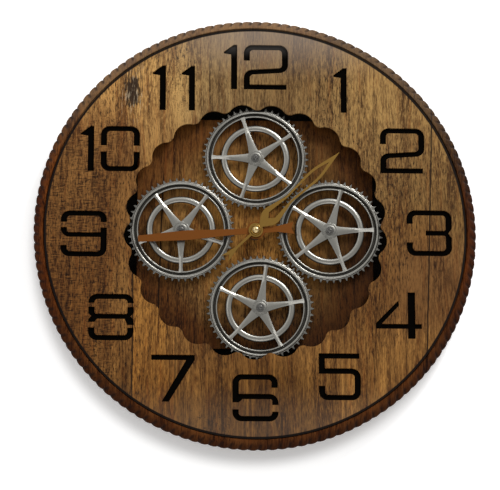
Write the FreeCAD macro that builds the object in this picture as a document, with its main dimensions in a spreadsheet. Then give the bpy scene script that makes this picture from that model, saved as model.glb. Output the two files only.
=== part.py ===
import FreeCAD, Part
import math
import os
import Sketcher

Vector = FreeCAD.Vector

# Sizes in millimetres. Depths count outwards from the wall, towards the viewer.
SIZES = {
    # rim and band of the case
    "rim_radius": 300.0,
    "rope_depth": 1.8,
    "rope_height": 4.5,
    "rim_inner_radius": 287.0,
    "rim_crown": 0.8,
    "rim_slope_drop": 7.5,
    "rim_slope_width": 10.5,
    "rim_skirt": 14.0,
    "rim_chamfer": 3.0,
    "band_radius": 283.0,
    "band_thickness": 4.0,
    "glue_gap": 0.2,
    # layers of the case, from the wall outwards
    "back_thickness": 5.0,
    "rear_space": 17.0,
    "panel_thickness": 5.0,
    "gear_space": 13.0,
    "backing_thickness": 1.0,
    "face_thickness": 3.0,
    # face and its scalloped window
    "face_groove": 1.2,
    "window_valley_radius": 170.0,
    "window_lobe_height": 8.3,
    "backing_inner_radius": 188.0,
    # numerals
    "numeral_ring_radius": 231.5,
    "numeral_height": 64.0,
    "stem_width": 8.4,
    "bar_width": 7.4,
    "corner_radius": 12.0,
    "digit_gap": 9.0,
    "twin_gap": 21.5,
    # inset panel and the wooden blocks between the layers
    "panel_half": 160.0,
    "panel_corner_radius": 12.0,
    "panel_block_radius": 190.0,
    "rim_block_radius": 258.0,
    "block_width": 15.0,
    "block_length": 40.0,
    # gear train on the front
    "gear_distance": 143.0,
    "top_gear_height": 103.5,
    "side_gear_height": 2.0,
    "bottom_gear_offset": 6.4,
    "gear_tip_height": 0.95,
    "gear_tooth_depth": 4.2,
    "gear_lift": 6.2,
    "gear_hub_height": 6.0,
    "gear_hub_radius": 11.0,
    "gear_hub_edge": 0.8,
    "gear_boss_radius": 6.5,
    "tooth_low": 1.0,
    "tooth_thickness": 3.2,
    "ring_outer_radius": 68.4,
    "ring_groove_radius": 60.6,
    "ring_lip_radius": 59.2,
    "ring_inner_radius": 57.8,
    "ring_low": 0.4,
    "ring_side_height": 3.0,
    "ring_crown_height": 5.9,
    "ring_lip_height": 4.2,
    "inner_ring_outer_radius": 47.0,
    "inner_ring_inner_radius": 38.4,
    "inner_ring_low": 0.8,
    "inner_ring_side": 2.4,
    "inner_ring_crown": 4.2,
    "spoke_root_half": 8.4,
    "spoke_tip_half": 1.9,
    "spoke_pocket_radius": 3.0,
    "spoke_low": 1.6,
    "spoke_top": 5.0,
    # axles of the gears
    "journal_radius": 3.0,
    "running_gap": 0.05,
    "end_play": 0.1,
    "axle_flange_radius": 7.0,
    "axle_flange_height": 2.0,
    "axle_shoulder_radius": 4.5,
    "axle_stud_radius": 2.5,
    "axle_stud_reach": 4.6,
    "axle_nut_across": 8.0,
    "axle_nut_height": 3.2,
    "fit_gap": 0.02,
    "hole_gap": 0.2,
    "gear_washer_radius": 5.4,
    "gear_washer_thickness": 0.8,
    "gear_screw_radius": 1.5,
    "gear_screw_length": 7.0,
    "gear_screw_head_radius": 3.1,
    "gear_screw_head_height": 1.8,
    "screw_slot_width": 0.8,
    "screw_slot_depth": 0.9,
    # hands
    "hand_length": 159.4,
    "hour_hand_depth": 43.6,
    "hour_hand_thickness": 1.2,
    "hour_disc_radius": 12.2,
    "hour_neck_half": 4.0,
    "hour_belly_half": 6.9,
    "hour_tip_half": 4.3,
    "hour_tail_length": 52.0,
    "hour_tail_half": 8.4,
    "minute_hand_depth": 46.6,
    "minute_hand_thickness": 1.0,
    "minute_disc_radius": 9.8,
    "minute_belly_half": 9.0,
    "minute_waist_half": 5.6,
    "minute_barb_half": 13.0,
    "minute_prong_width": 3.4,
    "minute_rod_half": 1.6,
    "minute_tail_length": 59.0,
    "minute_tail_half": 6.4,
    "collar_radius": 7.4,
    "collar_height": 1.3,
    "cap_nut_radius": 4.3,
    "cap_nut_height": 3.4,
    "cap_nut_skirt": 1.0,
    # rear board, its cover and its hanger
    "opening_width": 92.0,
    "opening_height": 186.0,
    "opening_centre_height": -53.0,
    "opening_corner_radius": 10.0,
    "rebate_width": 7.0,
    "cover_thickness": 2.0,
    "cover_gap": 0.4,
    "cover_screw_radius": 1.5,
    "cover_screw_head_radius": 2.9,
    "cover_screw_head_height": 1.4,
    "cover_screw_length": 4.6,
    "back_screw_radius": 1.75,
    "back_screw_head_radius": 3.6,
    "back_screw_head_height": 2.0,
    "back_screw_length": 16.0,
    "hanger_height": 236.0,
    "hanger_width": 60.0,
    "hanger_depth": 28.0,
    "hanger_thickness": 1.6,
    "hanger_corner_radius": 4.0,
    "keyhole_entry_radius": 5.5,
    "keyhole_slot_radius": 2.8,
    "keyhole_rise": 9.0,
    "keyhole_room": 3.0,
    "rivet_radius": 1.6,
    "rivet_head_radius": 3.0,
    "rivet_head_height": 1.2,
    "rivet_spacing": 42.0,
    # movement and gear drive, whose cases are alike
    "case_width": 56.0,
    "case_wall": 1.2,
    "case_corner_radius": 3.0,
    "case_depth": 16.4,
    "plate_thickness": 1.2,
    "bay_height": 14.8,
    "bay_wall": 1.4,
    "battery_radius": 7.1,
    "battery_length": 50.5,
    "battery_cap_radius": 2.7,
    "battery_cap_length": 1.2,
    "contact_thickness": 0.5,
    "contact_button_radius": 3.0,
    "bushing_radius": 4.0,
    "bushing_flange_radius": 7.0,
    "bushing_flange_height": 0.8,
    "bushing_reach": 11.0,
    "bushing_washer_radius": 9.0,
    "bushing_washer_thickness": 0.8,
    "bushing_nut_across": 12.0,
    "bushing_nut_height": 3.0,
    "drive_bushing_radius": 5.0,
    "drive_nut_across": 14.0,
    "drive_bushing_reach": 5.2,
    # wheels of the movement: arbors and thicknesses
    "minute_arbor_radius": 1.6,
    "clutch_flange_radius": 2.8,
    "clutch_flange_height": 0.5,
    "hour_pipe_radius": 2.65,
    "wheel_thickness": 0.8,
    "heavy_thickness": 1.6,
    "pivot_radius": 0.4,
    "heavy_pivot_radius": 0.8,
    "seconds_level": 3.0,
    "intermediate_level": 4.4,
    "third_level": 5.8,
    "centre_level": 7.4,
    "motion_level": 10.6,
    "hour_level": 13.0,
    "rotor_level": 6.4,
    "fine_module": 0.25,
    "motion_module": 0.5,
    "hour_module": 0.48,
    "drive_module": 0.4,
    "magnet_radius": 3.0,
    "magnet_height": 2.6,
    "magnet_gap": 0.5,
    "stator_thickness": 1.0,
    "stator_half_width": 16.0,
    "stator_bar_low": 10.5,
    "stator_bar_high": 17.5,
    "stator_top": 24.5,
    "stator_top_low": 19.5,
    "stator_leg_width": 4.0,
    "coil_half_length": 11.0,
    "coil_half_height": 4.1,
    "coil_gap": 0.1,
    "board_left": 13.0,
    "board_right": 26.0,
    "board_low": -9.0,
    "board_high": 16.0,
    "board_thickness": 1.0,
    "chip_radius": 3.5,
    "chip_height": 1.0,
    "crystal_radius": 1.0,
    "crystal_length": 6.0,
    "knob_radius": 5.0,
    "knob_height": 2.4,
    "knob_stem_radius": 1.5,
    # gear drive
    "motor_radius": 6.0,
    "motor_wall": 0.6,
    "motor_length": 7.6,
    "armature_radius": 4.6,
    "armature_length": 4.4,
    "motor_shaft_radius": 0.75,
    "reduction_level": 9.4,
    "output_level": 11.8,
    "switch_offset": 18.0,
    "switch_height": 15.0,
    "switch_length": 5.0,
    "switch_width": 3.4,
    "switch_travel": 2.0,
    "switch_rise": 1.6,
    "switch_flange": 1.4,
    "switch_gap": 0.15,
    # overrun of every cut
    "overrun": 1.0,
}

# Counts
ROPE_BUMPS = 140
WINDOW_LOBES = 25
RIM_BLOCKS = 8
PANEL_BLOCKS = 4
GEAR_TEETH = 50
SPOKES = 5
KNOB_RIBS = 16

# Shares of the sizes that they follow
LOBE_SHARE = 0.70
VALLEY_RISE_SHARE = 0.29
TOOTH_ROOT_SHARE = 0.50
TOOTH_TIP_SHARE = 0.14
WHEEL_ROOT_SHARE = 0.50
WHEEL_TIP_SHARE = 0.20
ADDENDUM_SHARE = 0.70
DEDENDUM_SHARE = 1.10
RIB_ROOT_SHARE = 0.70
RIB_TIP_SHARE = 0.40

# Angles in degrees, seen from the front, anticlockwise from three o'clock
HOUR_HAND_ANGLE = 184.7
MINUTE_HAND_ANGLE = 44.1
WINDOW_ANGLE = 96.44
SPOKE_ANGLES = {"top": 107.0, "left": 54.0, "right": 74.4, "bottom": 82.0}

doc = FreeCAD.newDocument("WoodenGearClock")
sheet = doc.addObject("Spreadsheet::Sheet", "Sizes")
PIECES = []


# A length that knows its value and the expression that gives it
class Size:
    def __init__(self, value, text):
        self.value = value
        self.text = text

    def __float__(self):
        return self.value

    def __add__(self, other):
        return Size(self.value + float(other), f"({self.text} + {text_of(other)})")

    __radd__ = __add__

    def __sub__(self, other):
        return Size(self.value - float(other), f"({self.text} - {text_of(other)})")

    def __mul__(self, other):
        return Size(self.value * float(other), f"({self.text} * {text_of(other)})")

    __rmul__ = __mul__

    def __truediv__(self, other):
        return Size(self.value / float(other), f"({self.text} / {text_of(other)})")

    def __neg__(self):
        return Size(-self.value, f"(-({self.text}))")


def text_of(item):
    return item.text if isinstance(item, Size) else repr(item)


def root(item):
    return Size(math.sqrt(item.value), f"sqrt({item.text})")


class Named:
    pass


def fill_sheet():
    for row, (name, value) in enumerate(SIZES.items(), start=1):
        sheet.set(f"A{row}", name)
        sheet.set(f"B{row}", str(value))
        sheet.setAlias(f"B{row}", name)
    doc.recompute()
    named = Named()
    for name in SIZES:
        setattr(named, name, Size(float(sheet.get(name)), f"Sizes.{name}"))
    return named


d = fill_sheet()
ZERO = Size(0.0, "0")
CENTRE = (ZERO, ZERO)

# Levels of the layers
panel_back = d.back_thickness + d.rear_space
panel_front = panel_back + d.panel_thickness
backing_back = panel_front + d.gear_space
face_back = backing_back + d.backing_thickness
face_front = face_back + d.face_thickness
gear_back = panel_front + d.gear_lift
gear_front = gear_back + d.gear_hub_height
case_back = panel_back - d.case_depth
case_floor = case_back + d.case_wall
plate_back = panel_back - d.plate_thickness
inner_radius = d.band_radius - d.band_thickness - d.glue_gap

# Screws as radius, head radius and head height
BACK_SCREW = (d.back_screw_radius, d.back_screw_head_radius, d.back_screw_head_height)
COVER_SCREW = (d.cover_screw_radius, d.cover_screw_head_radius, d.cover_screw_head_height)

# Centres of the four gears, each pair one gear distance apart
side_rise = d.top_gear_height - d.side_gear_height
side_reach = root(d.gear_distance * d.gear_distance - side_rise * side_rise)
bottom_reach = side_reach - d.bottom_gear_offset
bottom_drop = root(d.gear_distance * d.gear_distance - bottom_reach * bottom_reach)
GEAR_PLACES = {
    "top": (ZERO, d.top_gear_height),
    "left": (-side_reach, d.side_gear_height),
    "right": (side_reach, d.side_gear_height),
    "bottom": (d.bottom_gear_offset, d.side_gear_height - bottom_drop),
}
DRIVE_PLACE = GEAR_PLACES["bottom"]


# Bodies, sketches and features

def new_body(label, place=CENTRE, listed=True):
    body = doc.addObject("PartDesign::Body", label)
    body.Label = label
    body.Placement = FreeCAD.Placement(Vector(), FreeCAD.Rotation(Vector(1, 0, 0), 90))
    body.setExpression("Placement.Base.x", place[0].text)
    body.setExpression("Placement.Base.z", place[1].text)
    if listed:
        PIECES.append(body)
    return body


def new_sketch(body, lift=ZERO, plane="XY_Plane"):
    sketch = body.newObject("Sketcher::SketchObject", body.Label + "_sketch")
    support = [f for f in body.Origin.OriginFeatures if f.Role == plane][0]
    sketch.AttachmentSupport = [(support, "")]
    sketch.MapMode = "FlatFace"
    if lift.text != "0":
        sketch.setExpression("AttachmentOffset.Base.z", lift.text)
    return sketch


def bind(sketch, kind, geo, point, value):
    if value.text == "0":
        axis = -2 if kind == "DistanceX" else -1
        sketch.addConstraint(Sketcher.Constraint("PointOnObject", geo, point, axis))
        return
    index = sketch.addConstraint(Sketcher.Constraint(kind, -1, 1, geo, point, value.value))
    sketch.setExpression(f"Constraints[{index}]", value.text)


def circle(sketch, radius, x=ZERO, y=ZERO):
    seed = Part.Circle(Vector(x.value, y.value, 0), Vector(0, 0, 1), radius.value)
    geo = sketch.addGeometry(seed, False)
    bind(sketch, "DistanceX", geo, 3, x)
    bind(sketch, "DistanceY", geo, 3, y)
    index = sketch.addConstraint(Sketcher.Constraint("Radius", geo, radius.value))
    sketch.setExpression(f"Constraints[{index}]", radius.text)


def polygon(sketch, points):
    corners = [Vector(x.value, y.value, 0) for x, y in points]
    first = len(sketch.Geometry)
    count = len(corners)
    sketch.addGeometry([Part.LineSegment(a, b) for a, b in zip(corners, corners[1:] + corners[:1])], False)
    for i in range(count):
        follower = first + (i + 1) % count
        sketch.addConstraint(Sketcher.Constraint("Coincident", first + i, 2, follower, 1))
    for i, (x, y) in enumerate(points):
        bind(sketch, "DistanceX", first + i, 1, x)
        bind(sketch, "DistanceY", first + i, 1, y)


def rectangle(sketch, left, low, right, high):
    polygon(sketch, [(left, low), (right, low), (right, high), (left, high)])


def pad(body, sketch, height):
    feature = body.newObject("PartDesign::Pad", body.Label + "_pad")
    feature.Profile = sketch
    feature.setExpression("Length", height.text)
    body.Tip = feature
    return feature


def cut(body, sketch, height):
    feature = body.newObject("PartDesign::Pocket", body.Label + "_cut")
    feature.Profile = sketch
    feature.Reversed = True
    feature.setExpression("Length", height.text)
    body.Tip = feature
    return feature


def turn(body, points, kind="PartDesign::Revolution"):
    sketch = new_sketch(body, plane="XZ_Plane")
    polygon(sketch, points)
    feature = body.newObject(kind, body.Label + "_turning")
    feature.Profile = sketch
    feature.ReferenceAxis = (sketch, ["V_Axis"])
    feature.Angle = 360
    body.Tip = feature
    return feature


def disc(body, radius, low, height):
    sketch = new_sketch(body, low)
    circle(sketch, radius)
    return pad(body, sketch, height)


def drill(body, radius, low, height, x=ZERO, y=ZERO):
    sketch = new_sketch(body, low)
    circle(sketch, radius, x, y)
    return cut(body, sketch, height)


def bore_through(body, radius, low, high, x=ZERO, y=ZERO):
    drill(body, radius, low - d.overrun, high - low + d.overrun * 2, x, y)


def grouped(label, source, places):
    feature = doc.addObject("Part::Feature", label)
    doc.recompute()
    shapes = []
    for x, z, angle in places:
        shape = source.Shape.copy()
        shape.rotate(Vector(), Vector(0, -1, 0), angle)
        shape.translate(Vector(float(x), 0, float(z)))
        shapes.append(shape)
    feature.Shape = Part.makeCompound(shapes)
    feature.Label = label
    PIECES.append(feature)
    return feature


# Free outlines: lines and arcs worked out from the sizes

def line(a, b):
    return Part.LineSegment(Vector(*a, 0), Vector(*b, 0))


def arc_through(a, b, c):
    return Part.Arc(Vector(*a, 0), Vector(*b, 0), Vector(*c, 0))


def polar(radius, angle):
    turned = math.radians(angle)
    return (float(radius) * math.cos(turned), float(radius) * math.sin(turned))


def loop(points):
    return [line(a, b) for a, b in zip(points, points[1:] + points[:1])]


def rounded_loop(points):
    edges = []
    starts = []
    ends = []
    middles = []
    count = len(points)
    for i, (x, y, radius) in enumerate(points):
        here = Vector(x, y, 0)
        before = Vector(*points[i - 1][:2], 0) - here
        after = Vector(*points[(i + 1) % count][:2], 0) - here
        if radius <= 0:
            starts.append(here)
            ends.append(here)
            middles.append(None)
            continue
        before.normalize()
        after.normalize()
        half = before.getAngle(after) / 2
        reach = radius / math.tan(half)
        towards = before + after
        towards.normalize()
        centre = here + towards * (radius / math.sin(half))
        starts.append(here + before * reach)
        ends.append(here + after * reach)
        middles.append(centre - towards * radius)
    for i in range(count):
        if middles[i] is not None:
            edges.append(Part.Arc(starts[i], middles[i], ends[i]))
        follower = starts[(i + 1) % count]
        if (follower - ends[i]).Length > 1e-6:
            edges.append(Part.LineSegment(ends[i], follower))
    return edges


def toothed_loop(teeth, root_radius, tip_radius, root_share, tip_share, angle):
    points = []
    pitch = 360 / teeth
    for i in range(teeth):
        centre = angle + i * pitch
        points.append(polar(root_radius, centre - root_share * pitch / 2))
        points.append(polar(tip_radius, centre - tip_share * pitch / 2))
        points.append(polar(tip_radius, centre + tip_share * pitch / 2))
        points.append(polar(root_radius, centre + root_share * pitch / 2))
    return loop(points)


def turned_points(points, angle):
    cosine = math.cos(math.radians(angle))
    sine = math.sin(math.radians(angle))
    return [(x * cosine - y * sine, x * sine + y * cosine) + tuple(rest) for x, y, *rest in points]


# Tooth angle of a wheel in mesh with another
def mesh_angle(angle, teeth, other_teeth, direction):
    phase = (teeth * (direction - angle) / 360) % 1
    return direction + 180 - (0.5 - phase) * 360 / other_teeth


def direction_between(a, b):
    return math.degrees(math.atan2(float(b[1]) - float(a[1]), float(b[0]) - float(a[0])))


# Case

def outer_rim():
    body = new_body("outer_rim")
    crown = face_front + d.rim_crown
    slope_end = d.rim_inner_radius + d.rim_slope_width
    ledge = d.band_radius + d.glue_gap
    rope_top = crown - d.rim_slope_drop
    rope_low = rope_top - d.rope_height
    rim_back = face_back - d.rim_skirt
    turn(body, [
        (ledge, rim_back),
        (d.rim_radius - d.rim_chamfer - d.rope_depth, rim_back),
        (d.rim_radius, rope_low),
        (d.rim_radius, rope_top),
        (slope_end, rope_top + d.rope_depth / 2),
        (d.rim_inner_radius, crown),
        (d.rim_inner_radius, face_back),
        (ledge, face_back),
    ])
    sketch = new_sketch(body, rim_back - d.overrun)
    circle(sketch, d.rim_radius + d.overrun)
    half = 180 / ROPE_BUMPS
    valley = float(d.rim_radius - d.rope_depth)
    bumps = []
    for i in range(ROPE_BUMPS):
        centre = 2 * half * i
        ends = (polar(valley, centre - half), polar(valley, centre + half))
        bumps.append(arc_through(ends[0], polar(d.rim_radius, centre), ends[1]))
    sketch.addGeometry(bumps, False)
    cut(body, sketch, crown - rim_back + d.overrun * 2)


def side_band():
    body = new_body("side_band")
    sketch = new_sketch(body)
    circle(sketch, d.band_radius)
    circle(sketch, d.band_radius - d.band_thickness)
    pad(body, sketch, face_back)


def window_loop():
    pitch = 360 / WINDOW_LOBES
    valley = float(d.window_valley_radius)
    crest = valley + float(d.window_lobe_height)
    middle = valley + float(d.window_lobe_height) * VALLEY_RISE_SHARE
    half = pitch * LOBE_SHARE / 2
    edges = []
    for i in range(WINDOW_LOBES):
        centre = WINDOW_ANGLE + i * pitch
        start = polar(middle, centre - half)
        end = polar(middle, centre + half)
        following = polar(middle, centre + pitch - half)
        edges.append(arc_through(start, polar(crest, centre), end))
        edges.append(arc_through(end, polar(valley, centre + pitch / 2), following))
    return edges


# Stencil digits as loops of corners: across in widths, up in heights, corner rounding.
# An across value of S is one stem in from the left, E one stem in from the right;
# an up value of B is one bar above the foot, T one bar below the top.
S, E, B, T = "stem in", "stem out", "bar up", "bar down"
OUT, IN, SOFT = "outer", "inner", "soft"
DIGIT_SHARES = {
    "0": (0.83, [
        [(0, 0.565), (0, 1, OUT), (1, 1, OUT), (1, 0.565), (E, 0.565), (E, T, IN), (S, T, IN), (S, 0.565)],
        [(0, 0.435), (S, 0.435), (S, B, IN), (E, B, IN), (E, 0.435), (1, 0.435), (1, 0, OUT), (0, 0, OUT)],
    ]),
    "1": (0.285, [
        [(E, 0), (1, 0), (1, 1), (0.74, 1), (0, 0.84), (0, 0.80), (E, 0.775)],
    ]),
    "2": (0.95, [
        [(0, 0.645), (0, 1, OUT), (1, 1, OUT), (1, 0.385, OUT), (S, 0.33, IN), (S, B), (0.96, B),
         (0.96, 0), (0, 0), (0, 0.435, OUT), (E, 0.49, IN), (E, T, IN), (S, T, IN), (S, 0.645)],
    ]),
    "3": (0.96, [
        [(0, 0.70), (0, 1, OUT), (1, 1, OUT), (1, 0.60, SOFT), (0.925, 0.50), (1, 0.40, SOFT), (1, 0, OUT),
         (0, 0, OUT), (0, 0.295), (S, 0.295), (S, B, IN), (E, B, IN), (E, 0.445, SOFT), (0.42, 0.445),
         (0.42, 0.555), (E, 0.555, SOFT), (E, T, IN), (S, T, IN), (S, 0.70)],
    ]),
    "4": (0.97, [
        [(0, 0.213), (0, 0.33), (0.497, 0.825), (0.514, 0.72), (0.135, 0.32), (0.697, 0.32), (0.697, 1),
         (0.86, 1), (0.86, 0.32), (1, 0.32), (1, 0.213), (0.86, 0.213), (0.86, 0), (0.697, 0),
         (0.697, 0.213)],
    ]),
    "5": (0.88, [
        [(0, 1), (0.97, 1), (0.97, T), (S, T), (S, 0.68), (1, 0.68, OUT), (1, 0, OUT), (0, 0, OUT),
         (0, 0.305), (S, 0.305), (S, B, IN), (E, B, IN), (E, 0.56, IN), (0, 0.56)],
    ]),
    "6": (0.96, [
        [(0, 0.40), (0, 1, OUT), (0.985, 1, OUT), (0.985, 0.715), (0.85, 0.715), (0.85, T, IN), (S, T, IN),
         (S, 0.585), (1, 0.585, OUT), (1, 0.35), (E, 0.35), (E, 0.47, SOFT), (0.22, 0.47), (S, 0.40)],
        [(0, 0.255), (S, 0.255), (S, B, IN), (E, B, IN), (E, 0.21), (1, 0.21), (1, 0, OUT), (0, 0, OUT)],
    ]),
    "7": (0.91, [
        [(0, 1), (1, 1), (1, 0.89), (0.41, 0), (0.245, 0), (0.80, T), (0, T)],
    ]),
    "8": (0.95, [
        [(0, 0.80), (0, 1, OUT), (1, 1, OUT), (1, 0.80), (E, 0.80), (E, T, IN), (S, T, IN), (S, 0.80)],
        [(0, 0.72), (S, 0.72), (S, 0.57, SOFT), (E, 0.57, SOFT), (E, 0.72), (1, 0.72), (1, 0.58),
         (0.93, 0.515), (1, 0.45), (1, 0.33), (E, 0.33), (0.80, 0.46), (0.20, 0.46), (S, 0.39),
         (0, 0.39), (0, 0.45), (0.07, 0.515), (0, 0.58)],
        [(0, 0.275), (S, 0.275), (S, B, IN), (E, B, IN), (E, 0.275), (1, 0.275), (1, 0, OUT), (0, 0, OUT)],
    ]),
    "9": (0.97, [
        [(0, 0.75), (0, 1, OUT), (1, 1, OUT), (1, 0.75), (E, 0.75), (E, T, IN), (S, T, IN), (S, 0.75)],
        [(0, 0.635), (0, 0.425, OUT), (E, 0.425), (E, B, IN), (S, B, IN), (S, 0.25), (0, 0.25), (0, 0, OUT),
         (1, 0, OUT), (1, 0.635), (E, 0.635), (E, 0.53), (S, 0.53, SOFT), (S, 0.635)],
    ]),
}


def digit_loops(digit, left, low):
    share, loops = DIGIT_SHARES[digit]
    height = float(d.numeral_height)
    width = height * share
    stem = float(d.stem_width)
    bar = float(d.bar_width)
    outer = float(d.corner_radius)
    inner = outer - bar
    across = {S: stem, E: width - stem}
    up = {B: bar, T: height - bar}
    rounding = {OUT: outer, IN: inner, SOFT: inner / 2}
    edges = []
    for corners in loops:
        points = []
        for x, y, *corner in corners:
            place_x = across[x] if x in across else x * width
            place_y = up[y] if y in up else y * height
            radius = rounding[corner[0]] if corner else 0
            points.append((left + place_x, low + place_y, radius))
        edges += rounded_loop(points)
    return edges


# How far each numeral stands right of and above its even place, as shares of its height
NUMERAL_PLACE_SHARES = {
    1: (0.0, -0.011),
    2: (-0.006, -0.019),
    3: (0.060, -0.015),
    4: (-0.125, 0.0),
    5: (-0.052, 0.0),
    6: (-0.006, 0.022),
    7: (0.080, -0.060),
    8: (0.100, -0.090),
    9: (-0.008, -0.100),
    10: (0.045, -0.040),
    11: (0.060, 0.0),
    12: (0.008, 0.0),
}


def numeral_edges():
    height = float(d.numeral_height)
    edges = []
    for hour in range(1, 13):
        digits = str(hour)
        gap = float(d.twin_gap if digits == "11" else d.digit_gap)
        widths = [height * DIGIT_SHARES[digit][0] for digit in digits]
        total = sum(widths) + gap * (len(digits) - 1)
        x, y = polar(d.numeral_ring_radius, 90 - 30 * hour)
        right_share, up_share = NUMERAL_PLACE_SHARES[hour]
        x += height * right_share
        y += height * up_share
        left = x - total / 2
        for digit, width in zip(digits, widths):
            edges += digit_loops(digit, left, y - height / 2)
            left += width + gap
    return edges


def face_panel():
    body = new_body("face_panel")
    sketch = new_sketch(body, face_back)
    circle(sketch, d.rim_inner_radius - d.face_groove)
    sketch.addGeometry(window_loop() + numeral_edges(), False)
    pad(body, sketch, d.face_thickness)


def numeral_backing():
    body = new_body("numeral_backing")
    sketch = new_sketch(body, backing_back)
    circle(sketch, inner_radius)
    circle(sketch, d.backing_inner_radius)
    pad(body, sketch, d.backing_thickness)


def block_source(label, radius, low, height):
    source = new_body(label + "_pattern", listed=False)
    sketch = new_sketch(source, low)
    half = d.block_length / 2
    rectangle(sketch, radius, -half, radius + d.block_width, half)
    pad(source, sketch, height)
    return source


def round_places(count):
    return [(ZERO, ZERO, (i + 0.5) * 360 / count) for i in range(count)]


# Four blocks carry the inset panel under the backing sheet
def front_blocks():
    source = block_source("front_blocks", d.panel_block_radius, panel_front, d.gear_space)
    grouped("front_blocks", source, round_places(PANEL_BLOCKS))


# Blocks inside the band join the back board to the backing sheet
def rear_blocks():
    low = d.back_thickness
    source = block_source("rear_blocks", d.rim_block_radius, low, backing_back - low)
    middle = d.rim_block_radius + d.block_width / 2
    depth = d.back_screw_length - low + d.end_play
    drill(source, d.back_screw_radius + d.fit_gap, low - d.overrun, depth + d.overrun, middle)
    grouped("rear_blocks", source, round_places(RIM_BLOCKS))


# Square panel behind the round window: narrow gaps stay open past its four sides
def inset_panel():
    body = new_body("inset_panel")
    sketch = new_sketch(body, panel_back)
    side = d.panel_half * 2
    sketch.addGeometry(rounded_rectangle(side, side, d.panel_corner_radius, ZERO), False)
    pad(body, sketch, d.panel_thickness)
    bore_through(body, d.bushing_radius + d.hole_gap, panel_back, panel_front)
    bore_through(body, d.drive_bushing_radius + d.hole_gap, panel_back, panel_front, *DRIVE_PLACE)
    for side in ("top", "left", "right"):
        bore_through(body, d.axle_stud_radius + d.hole_gap, panel_back, panel_front, *GEAR_PLACES[side])


def rounded_rectangle(width, height, radius, centre_height):
    x = float(width) / 2
    low = float(centre_height) - float(height) / 2
    high = float(centre_height) + float(height) / 2
    corner = float(radius)
    return rounded_loop([(-x, low, corner), (x, low, corner), (x, high, corner), (-x, high, corner)])


def opening_loop(margin):
    width = d.opening_width + margin * 2
    height = d.opening_height + margin * 2
    return rounded_rectangle(width, height, d.opening_corner_radius + margin, d.opening_centre_height)


def cover_screw_places():
    x = (d.opening_width + d.rebate_width) / 2
    top = d.opening_centre_height + (d.opening_height + d.rebate_width) / 2
    low = d.opening_centre_height - (d.opening_height + d.rebate_width) / 2
    inset = d.opening_height / 4
    rows = (top - inset, d.opening_centre_height, low + inset)
    return [(side * x, row) for side in (-1, 1) for row in rows]


def block_screw_places():
    middle = d.rim_block_radius + d.block_width / 2
    places = []
    for _, _, angle in round_places(RIM_BLOCKS):
        x, z = polar(1, angle)
        places.append((middle * x, middle * z))
    return places


def back_board():
    body = new_body("back_board")
    disc(body, inner_radius, ZERO, d.back_thickness)
    opening = new_sketch(body, -d.overrun)
    opening.addGeometry(opening_loop(ZERO), False)
    cut(body, opening, d.back_thickness + d.overrun * 2)
    rebate = new_sketch(body, -d.overrun)
    rebate.addGeometry(opening_loop(d.rebate_width), False)
    cut(body, rebate, d.cover_thickness + d.overrun)
    seat = new_sketch(body, -d.overrun)
    seat.addGeometry(hanger_loop(d.hole_gap), False)
    cut(body, seat, d.hanger_thickness + d.overrun)
    room = new_sketch(body, -d.overrun)
    room.addGeometry(keyhole_loop(d.keyhole_room), False)
    cut(body, room, d.back_thickness + d.overrun * 2)
    for x, z in cover_screw_places():
        bore_through(body, d.cover_screw_radius + d.fit_gap, ZERO, d.back_thickness, x, z)
    for x, z in rivet_places():
        bore_through(body, d.rivet_radius + d.fit_gap, ZERO, d.back_thickness, x, z)
    for x, z in block_screw_places():
        stepped_hole(body, BACK_SCREW, d.back_thickness, x, z)


# A through hole with a wider counterbore at the wall side
def stepped_hole(body, screw, thickness, x, z):
    radius, head_radius, head_height = screw
    bore_through(body, radius + d.fit_gap, ZERO, thickness, x, z)
    drill(body, head_radius + d.fit_gap, -d.overrun, head_height + d.overrun, x, z)


def service_cover():
    body = new_body("service_cover")
    sketch = new_sketch(body)
    sketch.addGeometry(opening_loop(d.rebate_width - d.cover_gap), False)
    pad(body, sketch, d.cover_thickness)
    for x, z in cover_screw_places():
        stepped_hole(body, COVER_SCREW, d.cover_thickness, x, z)


# A flat-headed screw, head at the wall side and flush with it
def flat_screw(label, screw, length, places):
    radius, head_radius, head_height = screw
    source = new_body(label + "_pattern", listed=False)
    turn(source, [
        (ZERO, ZERO),
        (head_radius, ZERO),
        (head_radius, head_height),
        (radius, head_height),
        (radius, length - radius),
        (ZERO, length),
    ])
    slot = new_sketch(source, -d.overrun)
    half = d.screw_slot_width / 2
    rectangle(slot, -head_radius - d.overrun, -half, head_radius + d.overrun, half)
    cut(source, slot, d.screw_slot_depth + d.overrun)
    grouped(label, source, [(x, z, 30) for x, z in places])


def hanger_loop(margin):
    width = d.hanger_width + margin * 2
    height = d.hanger_depth + margin * 2
    return rounded_rectangle(width, height, d.hanger_corner_radius + margin, d.hanger_height)


# Keyhole: round entry below, narrow slot above
def keyhole_loop(margin):
    entry = float(d.keyhole_entry_radius + margin)
    slot = float(d.keyhole_slot_radius + margin)
    rise = float(d.keyhole_rise)
    centre = float(d.hanger_height) - rise / 2
    shoulder = math.degrees(math.acos(slot / entry))
    left = polar(entry, 180 - shoulder)
    right = polar(entry, shoulder)
    return [
        arc_through((left[0], centre + left[1]), (0, centre - entry), (right[0], centre + right[1])),
        line((slot, centre + right[1]), (slot, centre + rise)),
        arc_through((slot, centre + rise), (0, centre + rise + slot), (-slot, centre + rise)),
        line((-slot, centre + rise), (-slot, centre + left[1])),
    ]


def rivet_places():
    half = d.rivet_spacing / 2
    return [(-half, d.hanger_height), (half, d.hanger_height)]


def hanger_plate():
    body = new_body("hanger_plate")
    sketch = new_sketch(body)
    sketch.addGeometry(hanger_loop(ZERO) + keyhole_loop(ZERO), False)
    for x, z in rivet_places():
        circle(sketch, d.rivet_radius + d.fit_gap, x, z)
    pad(body, sketch, d.hanger_thickness)
    for x, z in rivet_places():
        drill(body, d.rivet_head_radius + d.fit_gap, -d.overrun, d.rivet_head_height + d.overrun, x, z)


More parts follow.
